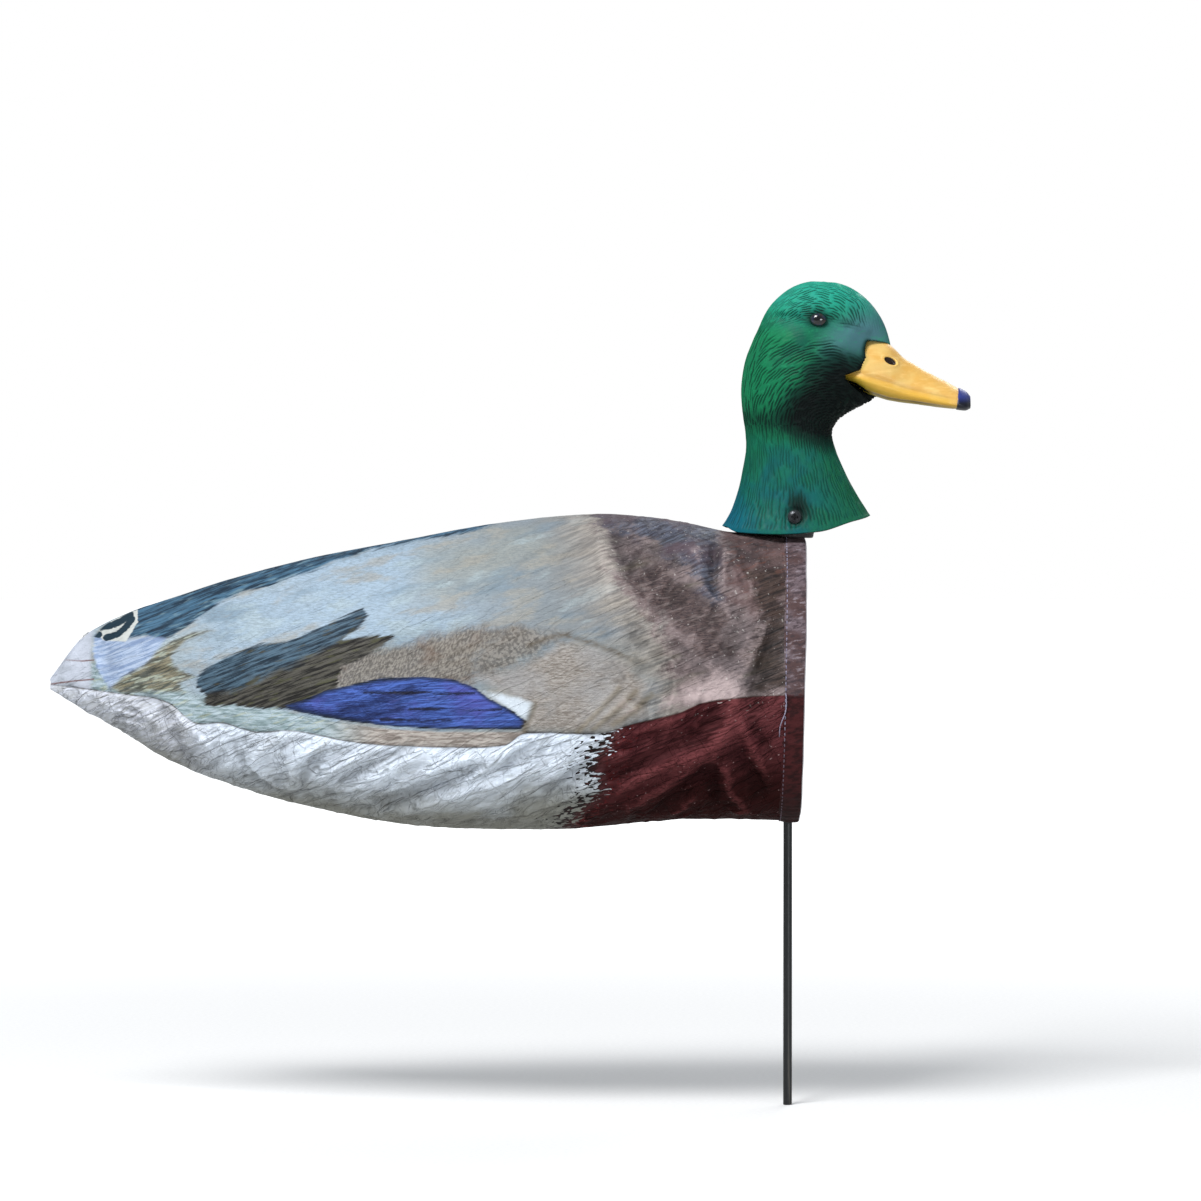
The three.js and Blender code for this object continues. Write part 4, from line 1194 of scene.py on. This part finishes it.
def head_point(station, angle):
    """The head's smooth skin; angle 0 faces the bill."""
    station, angle = np.broadcast_arrays(np.asarray(station, float), angle)
    fx, fz, bx, bz, half = (track(station) for track in head_tracks)
    c, s = np.cos(angle), np.sin(angle)
    face = smooth(station, 5.5, 9) * (1 - smooth(station, 12, 15))
    middle = 0.5 - 0.12 * face
    pinch = np.where(c > 0, face * 0.42 * np.maximum(c, 0) ** 1.5, 0)
    along = np.where(c > 0, middle + (1 - middle) * c, middle * (1 + c))
    return np.stack([bx + (fx - bx) * along, half * s * (1 - pinch), bz + (fz - bz) * along], axis=-1)


def skirt_edge(x):
    """Height of the neck's lower edge, which dips in the middle of each side."""
    t = np.linspace(0, 1, 60)
    weights = np.stack([(1 - t) ** 2, 2 * t * (1 - t), t**2])
    return np.interp(x, (-47, 8, 60) @ weights, (417.6, 410, 425.4) @ weights)


def head_grid():
    """The smooth head from the skirt's edge to the crown, and the station of each point."""
    rows, cols = ((520, 440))
    angle = closed_turn(cols)
    low, high = np.full(cols, -0.6), np.full(cols, 3.0)
    for _ in range(30):
        half = (low + high) / 2
        p = head_point(half, angle)
        dip = 2.7 * smooth(np.abs(p[:, 1]), 10, 22) * (1 - smooth(p[:, 0], 22, 48))
        below = p[:, 2] < skirt_edge(p[:, 0]) - dip
        low, high = np.where(below, half, low), np.where(below, high, half)
    start = (low + high) / 2
    share = np.linspace(0, 1, rows)[:, None]
    station = start + (len(HEAD_STATIONS) - 1 - start) * share
    return head_point(station, angle[None, :]), station


def strokes(p, across, along, spacing, length, seed):
    """Broken parallel grooves, 1 in a groove and 0 between, set out across and along a flow."""
    wander = 0.7 * soft_noise(p / (11.0, 11.0, 16.0) + seed) + 0.2 * soft_noise(p / 4.0 + seed)
    phase = across / spacing + wander
    row = np.round(phase)
    off_line = np.abs(phase - row) * spacing
    start = np.modf(np.abs(np.sin(row * 12.99 + seed)) * 437.6)[0]
    reach = np.modf(along / length + start + 0.25 * soft_noise(p / 8.0 + 2 * seed) + 40)[0]
    dash = smooth(reach, 0.0, 0.25) * (1 - smooth(reach, 0.66, 0.97))
    return bump_at(off_line, 0.26 * spacing) * dash


def carving(p):
    """Depth of the carved feather strokes, 0 on a ridge and 1 in a groove, and how strong they are.

    Strokes over the crown run from the bill to the nape, in arcs round a point below the eye. Those on
    the cheek and down the nape run round the throat. Those on the neck fall straight and fan out to the
    skirt.
    """
    x, y, z = np.moveaxis(p, -1, 0)
    from_crown_x, from_crown_z = x - 12, z - 535
    crown_across = np.arctan2(y, np.hypot(from_crown_x, from_crown_z)) * 66
    crown = strokes(p, crown_across, np.arctan2(from_crown_z, from_crown_x) * 42, 1.9, 11.0, 2.0)
    throat_x, throat_z = x - 27, z - 490
    round_throat = np.arctan2(throat_z, throat_x) * 60
    from_throat = np.hypot(throat_x, throat_z)
    cheek = strokes(p, from_throat, round_throat, 2.0, 26.0, 5.0)
    nape = strokes(p, np.arctan2(y, from_throat) * 52, round_throat, 2.0, 26.0, 3.0)
    on_nape = smooth(-np.abs(y), -21, -16) * smooth(-x, -8, 2)
    cheek = cheek * (1 - on_nape) + nape * on_nape
    neck_turn = np.arctan2(y * 1.5, x - np.interp(z, [410, 480], [7, 1]))
    neck = strokes(p, np.abs(neck_turn) * 34, z, 1.9, 26.0, 8.0)

    over_eye = z - np.interp(x, [-30, 0, 20, 45, 75], [556, 565, 568, 562, 550])
    on_crown = smooth(over_eye, -4, 4)
    on_neck = smooth(-z, -492, -474)
    groove = crown * on_crown + cheek * (1 - on_crown) * (1 - on_neck) + neck * on_neck
    lore = smooth(oval(x, z, (52, 549), (22, 14)), 0.5, 1.1)
    behind_eye = smooth(oval(x, z, (16, 557), (34, 9)), 0.6, 1.15)
    forehead = smooth(oval(x, z, (68, 566), (16, 22)), 0.6, 1.2)
    strength = lore * (0.15 + 0.85 * behind_eye) * (0.2 + 0.8 * forehead)
    return groove, strength * np.interp(z, [410, 470, 500], [0.72, 0.62, 1.0])


def face_relief(p):
    """Brow, eye hollow, eye groove and cheek, as outward rise in millimetres."""
    x, y, z = np.moveaxis(p, -1, 0)
    brow, _ = along_path(x, z, [(-2, 571), (12, 575), (24, 574.5), (40, 567), (56, 558)])
    under, _ = along_path(x, z, [(-20, 569), (2, 567.5), (14, 566), (28, 564), (42, 560)])
    rise = 1.5 * bump_at(brow, 3.6) - 1.3 * bump_at(under, 3.0) - 1.2 * spot(x, z, EYE, (9.5, 7))
    return (rise + 0.9 * spot(x, z, (18, 538), (30, 18))) * smooth(np.abs(y), 8, 17)


def blueness(p):
    """How blue the paint is: before the eye, on the forehead and along the rear of the skirt."""
    x, y, z = np.moveaxis(p, -1, 0)
    lore = oval(x, z, (50, 547), (36, 26))
    band = smooth(-lore, -1.1, -0.35) * (0.55 + 0.45 * smooth(np.abs(y), 6, 16))
    skirt = 0.95 * spot(x, z, (-42, 424), (17, 18.9)) + 0.35 * spot(x, z, (2, 430), (16, 24))
    return np.clip(0.8 * band + 0.6 * spot(x, z, (68, 566), (18, 22.5)) + skirt, 0, 1) * 0.85


def painted_shade_amount(p, bolt):
    """How much painted shade darkens the paint: on the throat under the bill and cheek, over the bolt,
    round the eye and behind the bill.
    """
    x, y, z = np.moveaxis(p, -1, 0)
    throat = [
        (56, 523), (39, 523), (22, 515), (14, 505), (15, 495), (26, 489), (36, 491), (64, 508), (80, 516),
    ]
    shade_over_bolt = spot(x, z, (bolt[0] + 2.5, bolt[2] + 6), (7.5, 11.25))
    dark = 1.15 * smooth(inside_by(x, z, throat), -28, 7) + 0.4 * bump_at(z - 494, 11)
    dark += 0.22 * spot(x, z, (34, 538), (30, 16)) + 0.7 * spot(x, z, EYE, (8, 6))
    dark += 0.85 * shade_over_bolt * smooth(np.abs(y), 15, 22)
    dark += 0.5 * bump_at(x - feather_line(z), 2.2) * smooth(z, 524, 530) * (1 - smooth(z, 549, 554))
    return np.clip(dark, 0, 1)


def head_paint():
    """Brushed green, bluer towards the bill and the skirt and lighter towards the crown, which is painted
    light from above; painted shade darkens the grooves, the throat, the other marked places and the inside,
    and painted highlights lie on the ridges.
    """
    net = Net("head_paint")
    at = net.place()
    forward, _, height = net.axes(at)
    clouds = net.noise(at, (45, 45, 45), detail=4)
    streaks = net.noise(at, (420, 420, 60), detail=4, rough=0.65)
    dabs = net.noise(at, (160, 160, 260), 0.5, detail=4, rough=0.65)
    grain = net.noise(at, (1400, 1400, 1400))
    groove = net.number("groove")

    green = net.tint((17, 109, 72), clouds, 0.38, 0.62, (12, 85, 67))
    # Painted light from above: lighter and bluer towards the crown.
    green = net.tint(green, height, 0.552, 0.586, (38, 153, 132), 0.9)
    nape = net.math("MULTIPLY_ADD", height, 0.35, forward)
    green = net.tint(green, nape, 0.2, 0.165, (22, 118, 76), 0.75)
    teal = net.tint((14, 88, 86), clouds, 0.4, 0.6, (18, 98, 74))
    teal = net.tint(teal, forward, 0.0, 0.05, (27, 92, 62), 0.8)
    neck = net.rise(height, 0.494, 0.462)
    colour = net.mix(neck, green, teal)
    neck_streaks = net.times(neck, net.rise(streaks, 0.45, 0.62), 0.5)
    colour = net.mix(neck_streaks, colour, (13, 72, 66))
    blue = net.mix(neck, (80, 122, 134), (14, 92, 120))
    colour = net.mix(net.number("blue"), colour, blue)

    # Painted shade in the carved grooves.
    colour = net.tint(colour, groove, 0.15, 0.8, (6, 46, 36), 0.5)
    # Painted highlights in dabs on the ridges between the grooves, faint on the neck.
    ridge_highlight = net.times(net.rise(dabs, 0.5, 0.68), net.rise(groove, 0.3, 0.0))
    ridge_highlight = net.times(ridge_highlight, net.rise(neck, 0.6, 0.0, 0.04, 0.35))
    colour = net.mix(ridge_highlight, colour, (40, 150, 104))
    # Painted shade from the stored marks and the grooves: first dark green, then near-black.
    dark = net.shifted(net.number("dark"), clouds, 0.4)
    dark = net.math("MULTIPLY_ADD", groove, 0.35, dark)
    colour = net.tint(colour, dark, -0.05, 0.6, (7, 42, 34), 0.92)
    colour = net.tint(colour, dark, 0.4, 1.15, (4, 12, 12))
    # Painted shade inside the hollow head: near-black.
    colour = net.mix(net.number("inside"), colour, (24, 26, 26))
    normal = net.bump(grain, 0.1, 0.0003, net.bump(streaks, 0.12, 0.0006))
    roughness = net.rise(dabs, 0.35, 0.7, 0.46, 0.66)
    return net.finish(Base_Color=colour, Roughness=roughness, Normal=normal, Specular_IOR_Level=0.1)


def tuck_under_bill(grid):
    """Draws the head's skin in under the bill, so that the feathers end at a clean line."""
    x, y, z = np.moveaxis(grid, -1, 0)
    covered = (x > feather_line(z)) & (x > 40) & (z < bill_tracks[0](x) - 0.3) & (z > 507)
    limit = np.maximum(bill_half_at(x, z) - 1.0, 0.2)
    grid[..., 1] = np.where(covered, np.sign(y) * np.minimum(np.abs(y), limit), y)


def lined_skin(outer, inner):
    """The head's skin joined along the skirt to a shorter lining, each closed at its top."""
    rows, cols, _ = outer.shape
    count = rows * cols
    top = count + len(inner) * cols
    peaks = [outer[-1].mean(axis=0) + [0, 0, 0.35], inner[-1].mean(axis=0)]
    verts = np.vstack([outer.reshape(-1, 3), inner.reshape(-1, 3), peaks])
    faces = ring_faces(rows, cols) + ring_faces(len(inner), cols, count, True)
    for j in range(cols):
        k = (j + 1) % cols
        faces.append([k, j, count + j, count + k])
        faces.append([count - cols + j, count - cols + k, top])
        faces.append([top - cols + k, top - cols + j, top + 1])
    return face_out(new_object("head", verts, faces))


def build_head():
    """The carved head and neck, open at the skirt, with the marks that its paint reads."""
    wall, lined_rows = 2.4, 0.4
    base, station = head_grid()
    rows = len(base)
    x, y, z = np.moveaxis(base, -1, 0)
    normal = outward_normals(base)
    near_crown = smooth(station, 17.7, 17.98)
    groove, strength = carving(base)
    groove *= strength * (1 - near_crown) * smooth(np.arange(rows), 0, rows * 0.02)[:, None]
    bolt, _ = box_mm("neck_bolt")
    seat = smooth(-np.hypot(x - bolt[0], z - bolt[2]), -8.5, -6) * smooth(np.abs(y), 20, 26)
    rise = face_relief(base) * (1 - near_crown) - 0.75 * groove + 0.5 * soft_noise(base / 22.0 + 3.0)
    rise += 0.45 * bump_at(z - skirt_edge(x), 2.2) - 0.9 * seat
    outer = base + normal * rise[..., None]
    tuck_under_bill(outer)
    lining = slice(0, int(rows * lined_rows), 9)
    inner = base[lining] - normal[lining] * wall

    obj = lined_skin(outer, inner)
    hidden = inner[..., 0].size
    for name, values in (("groove", groove), ("blue", blueness(base)), ("dark", painted_shade_amount(base, bolt))):
        store(obj, name, np.r_[values.ravel(), np.zeros(hidden + 2)])
    store(obj, "inside", np.r_[np.zeros(groove.size), np.ones(hidden), 0, 1])
    obj.data.materials.append(head_paint())
    return obj


# ---------------------------------------------------------------- bill

# Stations along the bill: X, top, bottom and half width.
BILL_STATIONS = [
    (38, 541, 522, 10.5), (48, 547, 518.5, 17.4), (56, 551.4, 513.4, 19.4), (66, 550.6, 510, 18.6),
    (73, 548.3, 508, 17.3), (83, 538.8, 506.4, 15.8), (94, 532, 505, 15.4), (108, 524.4, 503.2, 16.2),
    (121, 517.6, 501.8, 15.4), (127.5, 514.4, 501.3, 11.8), (130.6, 510.8, 502.8, 6),
]
bill_tracks = [profile([(s[0], s[k]) for s in BILL_STATIONS]) for k in (1, 2, 3)]
# Height of the lip line as a share of the bill's own, and how square the lower part is.
LIP_SHARE = 0.22
LOWER_POWER = 0.75

# The bill's rear edge in the side view: height and X.
FEATHER_EDGE = [
    (505, 62), (518, 46), (523, 40.5), (526.5, 40.6), (530, 51.5), (536.5, 55.4), (545, 54.6), (553, 56.6),
]


def bill_section(x):
    """Top, bottom, half width, lip height and the two roundness powers of the upper part."""
    top, bottom, half = (track(x) for track in bill_tracks)
    base = 1 - smooth(x, 66, 88)
    return top, bottom, half, bottom + (top - bottom) * LIP_SHARE, 1.45 - 0.6 * base, 1.2 - 0.32 * base


def bill_point(x, angle):
    """The bill's smooth skin; angle 0 is its ridge."""
    x, angle = np.broadcast_arrays(np.asarray(x, float), angle)
    top, bottom, half, lip, rise_power, side_power = bill_section(x)
    c, s = np.cos(angle), np.sin(angle)
    height = np.where(c > 0, top - lip, lip - bottom)
    side = np.sign(s) * np.abs(s) ** np.where(c > 0, side_power, LOWER_POWER)
    up = np.sign(c) * np.abs(c) ** np.where(c > 0, rise_power, LOWER_POWER)
    return np.stack([x, half * side, lip + height * up], axis=-1)


def bill_half_at(x, z):
    """Half width of the bill at a point of the side view."""
    top, bottom, half, lip, rise_power, side_power = bill_section(x)
    up = np.clip((z - lip) / (top - lip), 0, 1) ** (1 / rise_power)
    down = np.clip((lip - z) / (lip - bottom), 0, 1) ** (1 / LOWER_POWER)
    c = np.where(z > lip, up, down)
    return half * np.sqrt(np.clip(1 - c * c, 0, 1)) ** np.where(z > lip, side_power, LOWER_POWER)


def feather_line(z):
    """X of the bill's rear edge in the side view, for a height."""
    return np.interp(z, *zip(*FEATHER_EDGE))


def bill_grid():
    """The smooth bill, in lines that each start at the feather line at their own height."""
    rows, cols = ((300, 240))
    angle = closed_turn(cols)
    rear = np.full(cols, 50.0)
    for _ in range(12):
        rear = 0.5 * rear + 0.5 * (feather_line(bill_point(rear, angle)[:, 2]) - 1.5)
    share = np.linspace(0, 1, rows)[:, None] ** 0.9
    return bill_point(rear + (BILL_STATIONS[-1][0] - rear) * share, angle[None, :])


def nostril(x, z):
    """0 in the middle of the slanted nostril and 1 on its rim."""
    slant = math.radians(-25)
    dx, dz = x - 72.9, z - 536.3
    c, s = math.cos(slant), math.sin(slant)
    return oval(dx * c + dz * s, dz * c - dx * s, (0, 0), (4.9, 2.5))


def bill_paint():
    """Warm yellow with a stronger yellow rim, olive at the gape and as painted shade along the bottom edge,
    a dark nostril and a blue nail.
    """
    net = Net("bill_paint")
    at = net.place()
    clouds = net.noise(at, (70, 70, 110), detail=4)
    brush = net.noise(at, (60, 200, 380), detail=4, rough=0.6)
    grain = net.noise(at, (1200, 1200, 1200), detail=3)
    colour = net.tint((219, 182, 106), clouds, 0.36, 0.64, (214, 166, 82))
    colour = net.tint(colour, brush, 0.5, 0.7, (246, 208, 134), 0.35)
    for mark, paint in (("rim", (214, 166, 48)), ("olive", (150, 132, 34)), ("line", (92, 62, 12))):
        colour = net.mix(net.number(mark), colour, paint)
    colour = net.tint(colour, net.number("nostril"), 1.28, 1.06, (246, 202, 112))
    colour = net.tint(colour, net.number("nostril"), 1.04, 0.9, (30, 14, 8))
    nail = net.mix(net.number("low"), (34, 49, 122), (8, 12, 30))
    colour = net.tint(colour, net.shifted(net.number("nail"), brush, 1.2), -0.3, 0.3, nail)
    normal = net.bump(brush, 0.08, 0.0006, net.bump(grain, 0.12, 0.0003))
    roughness = net.rise(brush, 0.35, 0.7, 0.38, 0.52)
    return net.finish(Base_Color=colour, Roughness=roughness, Normal=normal, Specular_IOR_Level=0.45)


def build_bill():
    """The bill with its lips, mouth line, nostrils and nail, and the marks that its paint reads."""
    base = bill_grid()
    x, y, z = np.moveaxis(base, -1, 0)
    _, bottom, _, lip, _, _ = bill_section(x)
    wide = np.abs(y)
    lip_side = smooth(wide, 3, 8) * (1 - smooth(x, 112, 122))
    mouth_side = smooth(wide, 6, 10)
    flank = smooth(wide, 4, 8)
    over_rim = z - (lip - 0.4)
    over_mouth = z - (bottom + 1.1)
    hole = np.where(flank > 0.05, nostril(x, z), 9.0)
    nail = x - (120.6 + 1.6 * smooth(z, 503, 516))

    rise = 0.75 * (bump_at(over_rim, 2.2) - bump_at(over_rim - 4.6, 1.5)) * lip_side
    rise -= 0.55 * bump_at(over_mouth, 0.7) * mouth_side * (1 - smooth(x, 100, 122))
    rise += (0.5 * bump_at(hole - 1.25, 0.22) - 2.2 * smooth(-hole, -1.05, -0.75)) * flank
    rise += 0.45 * smooth(nail, -0.4, 0.8) - 0.3 * bump_at(nail, 0.8)
    rise += 0.22 * soft_noise(base / 9.0)
    obj = face_out(capped("bill", base + outward_normals(base) * rise[..., None]))

    rim = bump_at(over_rim + 0.6, 3.6) * (1 - smooth(x, 112, 122)) + smooth(-(z - lip), 0, 2.5)
    olive = 0.8 * spot(x, z, (46, 520), (14, 14)) * smooth(-(z - lip), -1, 1.5)
    olive += 0.55 * bump_at(x - feather_line(z), 1.8)
    # Olive under the rim, and olive painted shade along the bottom edge.
    olive += 0.35 * smooth(-over_rim, 2.0, 4.5) + 0.5 * smooth(-(z - bottom), -2.6, -0.6)
    line = 0.7 * bump_at(over_mouth, 0.6) * mouth_side * (1 - smooth(x, 96, 120))
    line += 0.22 * bump_at(over_rim - 4.4, 1.0) * lip_side

    # Each mark's field, with its values at the middle points of the rear and front ends.
    marks = {
        "rim": (np.clip(rim, 0, 1) * 0.85, 0, 0),
        "olive": (np.clip(olive, 0, 1), 0, 0),
        "line": (np.clip(line, 0, 1), 0, 0),
        "nostril": (hole, 9, 9),
        "nail": (nail, -9, 9),
        "low": (smooth(-(z - 509), -2, 4), 0, 0.5),
    }
    for name, (field, rear, front) in marks.items():
        store(obj, name, np.r_[field.ravel(), rear, front])
    obj.data.materials.append(bill_paint())
    return obj


# ---------------------------------------------------------------- eyes


def eye_gloss():
    """Glossy dark eye with a deep blue-brown ring round the pupil."""
    net = Net("eye_gloss")
    ring = net.noise(net.place(), (500, 500, 500), detail=3)
    iris = net.tint((26, 40, 62), ring, 0.35, 0.65, (48, 34, 26))
    shade = net.tint((4, 6, 9), net.number("from_pupil"), 0.35, 0.95, iris)
    roughness = net.rise(ring, 0.3, 0.7, 0.04, 0.09)
    return net.finish(Base_Color=shade, Roughness=roughness, Coat_Weight=0.4, Coat_Roughness=0.05)


def almond(turn):
    """Height of an eye's outline at each angle, lower towards its two corners."""
    return np.sin(turn) * (1 - 0.16 * np.abs(np.cos(turn)) ** 3)


def build_eye(word, side, material):
    """A domed almond-shaped eye."""
    centre, half = box_mm(f"eye_{word}")
    from_front = np.linspace(0, np.pi, 40)[:, None]
    turn = closed_turn(64)
    grid = np.empty((from_front.size, turn.size, 3))
    grid[..., 0] = centre[0] + half[0] * np.sin(from_front) * np.cos(turn)
    grid[..., 1] = centre[1] + side * half[1] * np.cos(from_front) * 0.85
    grid[..., 2] = centre[2] + half[2] * np.sin(from_front) * almond(turn)
    obj = face_out(capped(f"eyeball_{word}", grid))
    store(obj, "from_pupil", np.r_[np.repeat(np.sin(from_front), turn.size), 0, 0])
    obj.data.materials.append(material)
    return obj


def head_wall():
    """Points of the smooth head on its left side."""
    grid = head_grid()[0][:, ::4]
    return grid[:, grid[0, :, 1] > 0].reshape(-1, 3)


def build_lid(word, side, material, wall):
    """A rounded rim that follows the eye's outline and sits on the head."""
    centre, half = box_mm(f"eye_{word}")
    turn = closed_turn(96)[:, None]
    around = closed_turn(16)
    seat_x = centre[0] + half[0] * np.cos(turn)
    seat_z = centre[2] + half[2] * np.sin(turn)
    seat = wall[np.argmin((wall[:, 0] - seat_x) ** 2 + (wall[:, 2] - seat_z) ** 2, axis=1), 1]
    thick = 0.75 + 0.25 * np.sin(turn)
    out = thick * np.cos(around)
    grid = np.empty((turn.size, around.size, 3))
    grid[..., 0] = centre[0] + (half[0] * 0.98 + out) * np.cos(turn)
    grid[..., 1] = side * (seat[:, None] - 0.3 + 0.8 * thick * np.sin(around))
    grid[..., 2] = centre[2] + (half[2] * 0.9 + out) * almond(turn)
    obj = face_out(new_object(f"eyelid_{word}", grid.reshape(-1, 3), torus_faces(turn.size, around.size)))
    # The rim takes the head's paint, darkened by painted shade as in the eye's hollow.
    for label, value in (("groove", 0.3), ("blue", 0.3), ("dark", 0.55), ("inside", 0.0)):
        store(obj, label, np.full(grid[..., 0].size, value))
    obj.data.materials.append(material)
    return obj


# ---------------------------------------------------------------- rod and carried parts


def build_rod():
    """The round stake with slightly rounded edges at both ends."""
    centre, half = box_mm("stake_rod")
    r, top = half[0], centre[2] + half[2]
    outline = [(0, 0), (r - 0.45, 0), (r - 0.13, 0.13), (r, 0.45)]
    outline += [(r, z) for z in np.linspace(4, top - 2, 60)]
    outline += [(r - 0.15, top - 0.15), (r - 0.5, top), (0, top)]
    obj = face_out(lathe("rod", outline, 48))
    obj.data.materials.append(rod_paint())
    return obj


def build_strip(material):
    """The backbone strip: a copy of its CAD mesh."""
    mesh = nodes["backbone_strip"].data.copy()
    mesh.name = "backbone"
    obj = bpy.data.objects.new("backbone", mesh)
    bpy.context.scene.collection.objects.link(obj)
    mesh.materials.clear()
    mesh.materials.append(material)
    return obj


def finish_carried(name, material, rounding):
    """Paints a CAD part that is shown as it is, and rounds its sharp edges for the render."""
    obj = nodes[name]
    obj.data.materials.clear()
    obj.data.materials.append(material)
    bevel = obj.modifiers.new("edge", "BEVEL")
    bevel.width = rounding * MM
    bevel.segments = 2
    bevel.limit_method = "ANGLE"
    bevel.angle_limit = math.radians(35)
    obj.data.shade_smooth()
    normals = obj.modifiers.new("shading", "WEIGHTED_NORMAL")
    normals.keep_sharp = True


# ---------------------------------------------------------------- building


def hand_over(obj, body, slot, *replaced):
    """Puts a piece on its body, in the place of the CAD nodes named."""
    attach(obj, body)
    if replaced:
        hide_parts(*replaced)


sock_front, sock_rear = build_sock()
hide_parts("back_panel_front", "belly_panel_front")
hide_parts("back_panel_mid", "belly_panel_mid", "back_panel_fold", "belly_panel_fold",
            "back_panel_tail", "belly_panel_tail")
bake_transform(sock_front)
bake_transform(sock_rear)

thread = spun_thread()
hand_over(build_hem(), "collar", "hem_fabric", "hem_band")
hand_over(build_stitches(thread), "collar", "thread", "hem_thread")
hand_over(build_loose_thread(thread), "collar", "thread")

head = build_head()
hand_over(head, "head", "head_paint", "head_shell")
hand_over(build_bill(), "head", "bill_paint", "bill")
gloss = eye_gloss()
wall = head_wall()
for word, side in (("right", -1), ("left", 1)):
    hand_over(build_eye(word, side, gloss), "head", "eye_gloss", f"eye_{word}")
    hand_over(build_lid(word, side, head.data.materials[0], wall), "head", "head_paint")
hand_over(build_rod(), "stake", "stake", "stake_rod")

black = moulded_plastic("moulded_black", (16, 17, 19), (44, 45, 48), 0.42)
strap = moulded_plastic("strip_plastic", (24, 25, 27), (58, 58, 60), 0.36)
bearing = moulded_plastic("bearing_plastic", (40, 41, 43), (70, 70, 72), 0.35)
rivet = metal("rivet_metal", (196, 198, 200), (132, 134, 138), 0.38)
oxide = metal("black_oxide", (34, 35, 38), (12, 12, 14), 0.3, 0.7)
zinc = metal("zinc", (170, 172, 178), (104, 104, 110), 0.34)

strip = build_strip(strap)
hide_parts("backbone_strip")
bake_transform(strip)

for name, material, rounding in (
    ("head_bracket", black, 0.5), ("strip_clamp", black, 0.4), ("stake_cap", bearing, 0.15),
    ("collar_hoop", strap, 0.3), ("body_arch", strap, 0.3), ("arch_rivet", rivet, 0.2),
    ("neck_bolt", oxide, 0.25), ("neck_nut", zinc, 0.2),
):
    finish_carried(name, material, rounding)


# ---------------------------------------------------------------- studio


def paper():
    """Pale paper that brightens with distance.

    It looks bright to the camera but throws less light back up at the underside.
    """
    net = Net("paper")
    at = net.place()
    seen = net.node("LightPath").outputs["Is Camera Ray"]
    grain = net.noise(at, (300, 300, 300), detail=3)
    shade = net.tint((0.86, 0.86, 0.86, 1), grain, 0.3, 0.7, (0.9, 0.9, 0.9, 1))
    shade = net.mix(seen, (0.6, 0.6, 0.58, 1), shade)
    away = net.node("VectorMath")
    away.operation = "LENGTH"
    net.put(away.inputs[0], at)
    glow = net.times(net.rise(away.outputs["Value"], 0.5, 3.0, 0.0, 0.9), seen)
    return net.finish(Base_Color=shade, Roughness=0.9, Emission_Color=(1, 1, 1, 1), Emission_Strength=glow)


def build_floor():
    """A wide round floor."""
    sides, radius = 96, 14.0
    turn = closed_turn(sides)
    rim = np.stack([np.cos(turn), np.sin(turn), 0 * turn], axis=-1) * radius / MM
    faces = [[0, 1 + i, 1 + (i + 1) % sides] for i in range(sides)]
    obj = new_object("floor", np.vstack([np.zeros(3), rim]), faces)
    obj.data.materials.append(paper())
    return obj


def build_surroundings():
    """White to the camera, and a soft cool fill light for everything else."""
    world = bpy.data.worlds.new("studio")
    world.use_nodes = True
    tree = world.node_tree
    tree.nodes.clear()
    out = tree.nodes.new("ShaderNodeOutputWorld")
    choose = tree.nodes.new("ShaderNodeMixShader")
    seen = tree.nodes.new("ShaderNodeLightPath")
    for socket, colour, strength in ((1, (0.9, 0.95, 1, 1), 0.36), (2, (1, 1, 1, 1), 1.0)):
        fill = tree.nodes.new("ShaderNodeBackground")
        fill.inputs["Color"].default_value = colour
        fill.inputs["Strength"].default_value = strength
        tree.links.new(fill.outputs[0], choose.inputs[socket])
    tree.links.new(seen.outputs["Is Camera Ray"], choose.inputs[0])
    tree.links.new(choose.outputs[0], out.inputs[0])
    bpy.context.scene.world = world


def aimed(name, data, place, aim):
    """A light or camera at a place, turned towards its aim."""
    obj = bpy.data.objects.new(name, data)
    obj.location = place
    obj.rotation_mode = "QUATERNION"
    obj.rotation_quaternion = (Vector(aim) - Vector(place)).to_track_quat("-Z", "Y")
    bpy.context.scene.collection.objects.link(obj)
    return obj


def softbox(name, place, aim, size, power, colour=(1, 1, 1)):
    """A rectangular area light."""
    light = bpy.data.lights.new(name, "AREA")
    light.shape = "RECTANGLE"
    light.size, light.size_y = size
    light.energy = power
    light.color = colour
    aimed(name, light, place, aim)


def build_camera():
    """A view of the bird's right side from a little above, through a long lens."""
    seen_width, distance = 0.865, 4.2
    lift = math.radians(1.5)
    aim = Vector((-0.135, 0, 0.364))
    camera = bpy.data.cameras.new("camera")
    camera.sensor_width = 36
    camera.lens = camera.sensor_width * distance / seen_width
    place = aim + Vector((0, -math.cos(lift), math.sin(lift))) * distance
    bpy.context.scene.camera = aimed("camera", camera, place, aim)


build_floor()
softbox("key", (-1.15, -1.7, 2.75), (-0.15, 0, 0.35), (1.2, 1.2), 100)
softbox("front", (1.5, -3.2, 0.7), (-0.15, 0, 0.3), (1.2, 1.0), 34, (0.95, 0.97, 1.0))
softbox("rim", (0.9, 2.0, 2.0), (0, 0, 0.45), (1.2, 1.0), 22)
build_camera()
build_surroundings()
bpy.context.scene.view_settings.view_transform = "Standard"
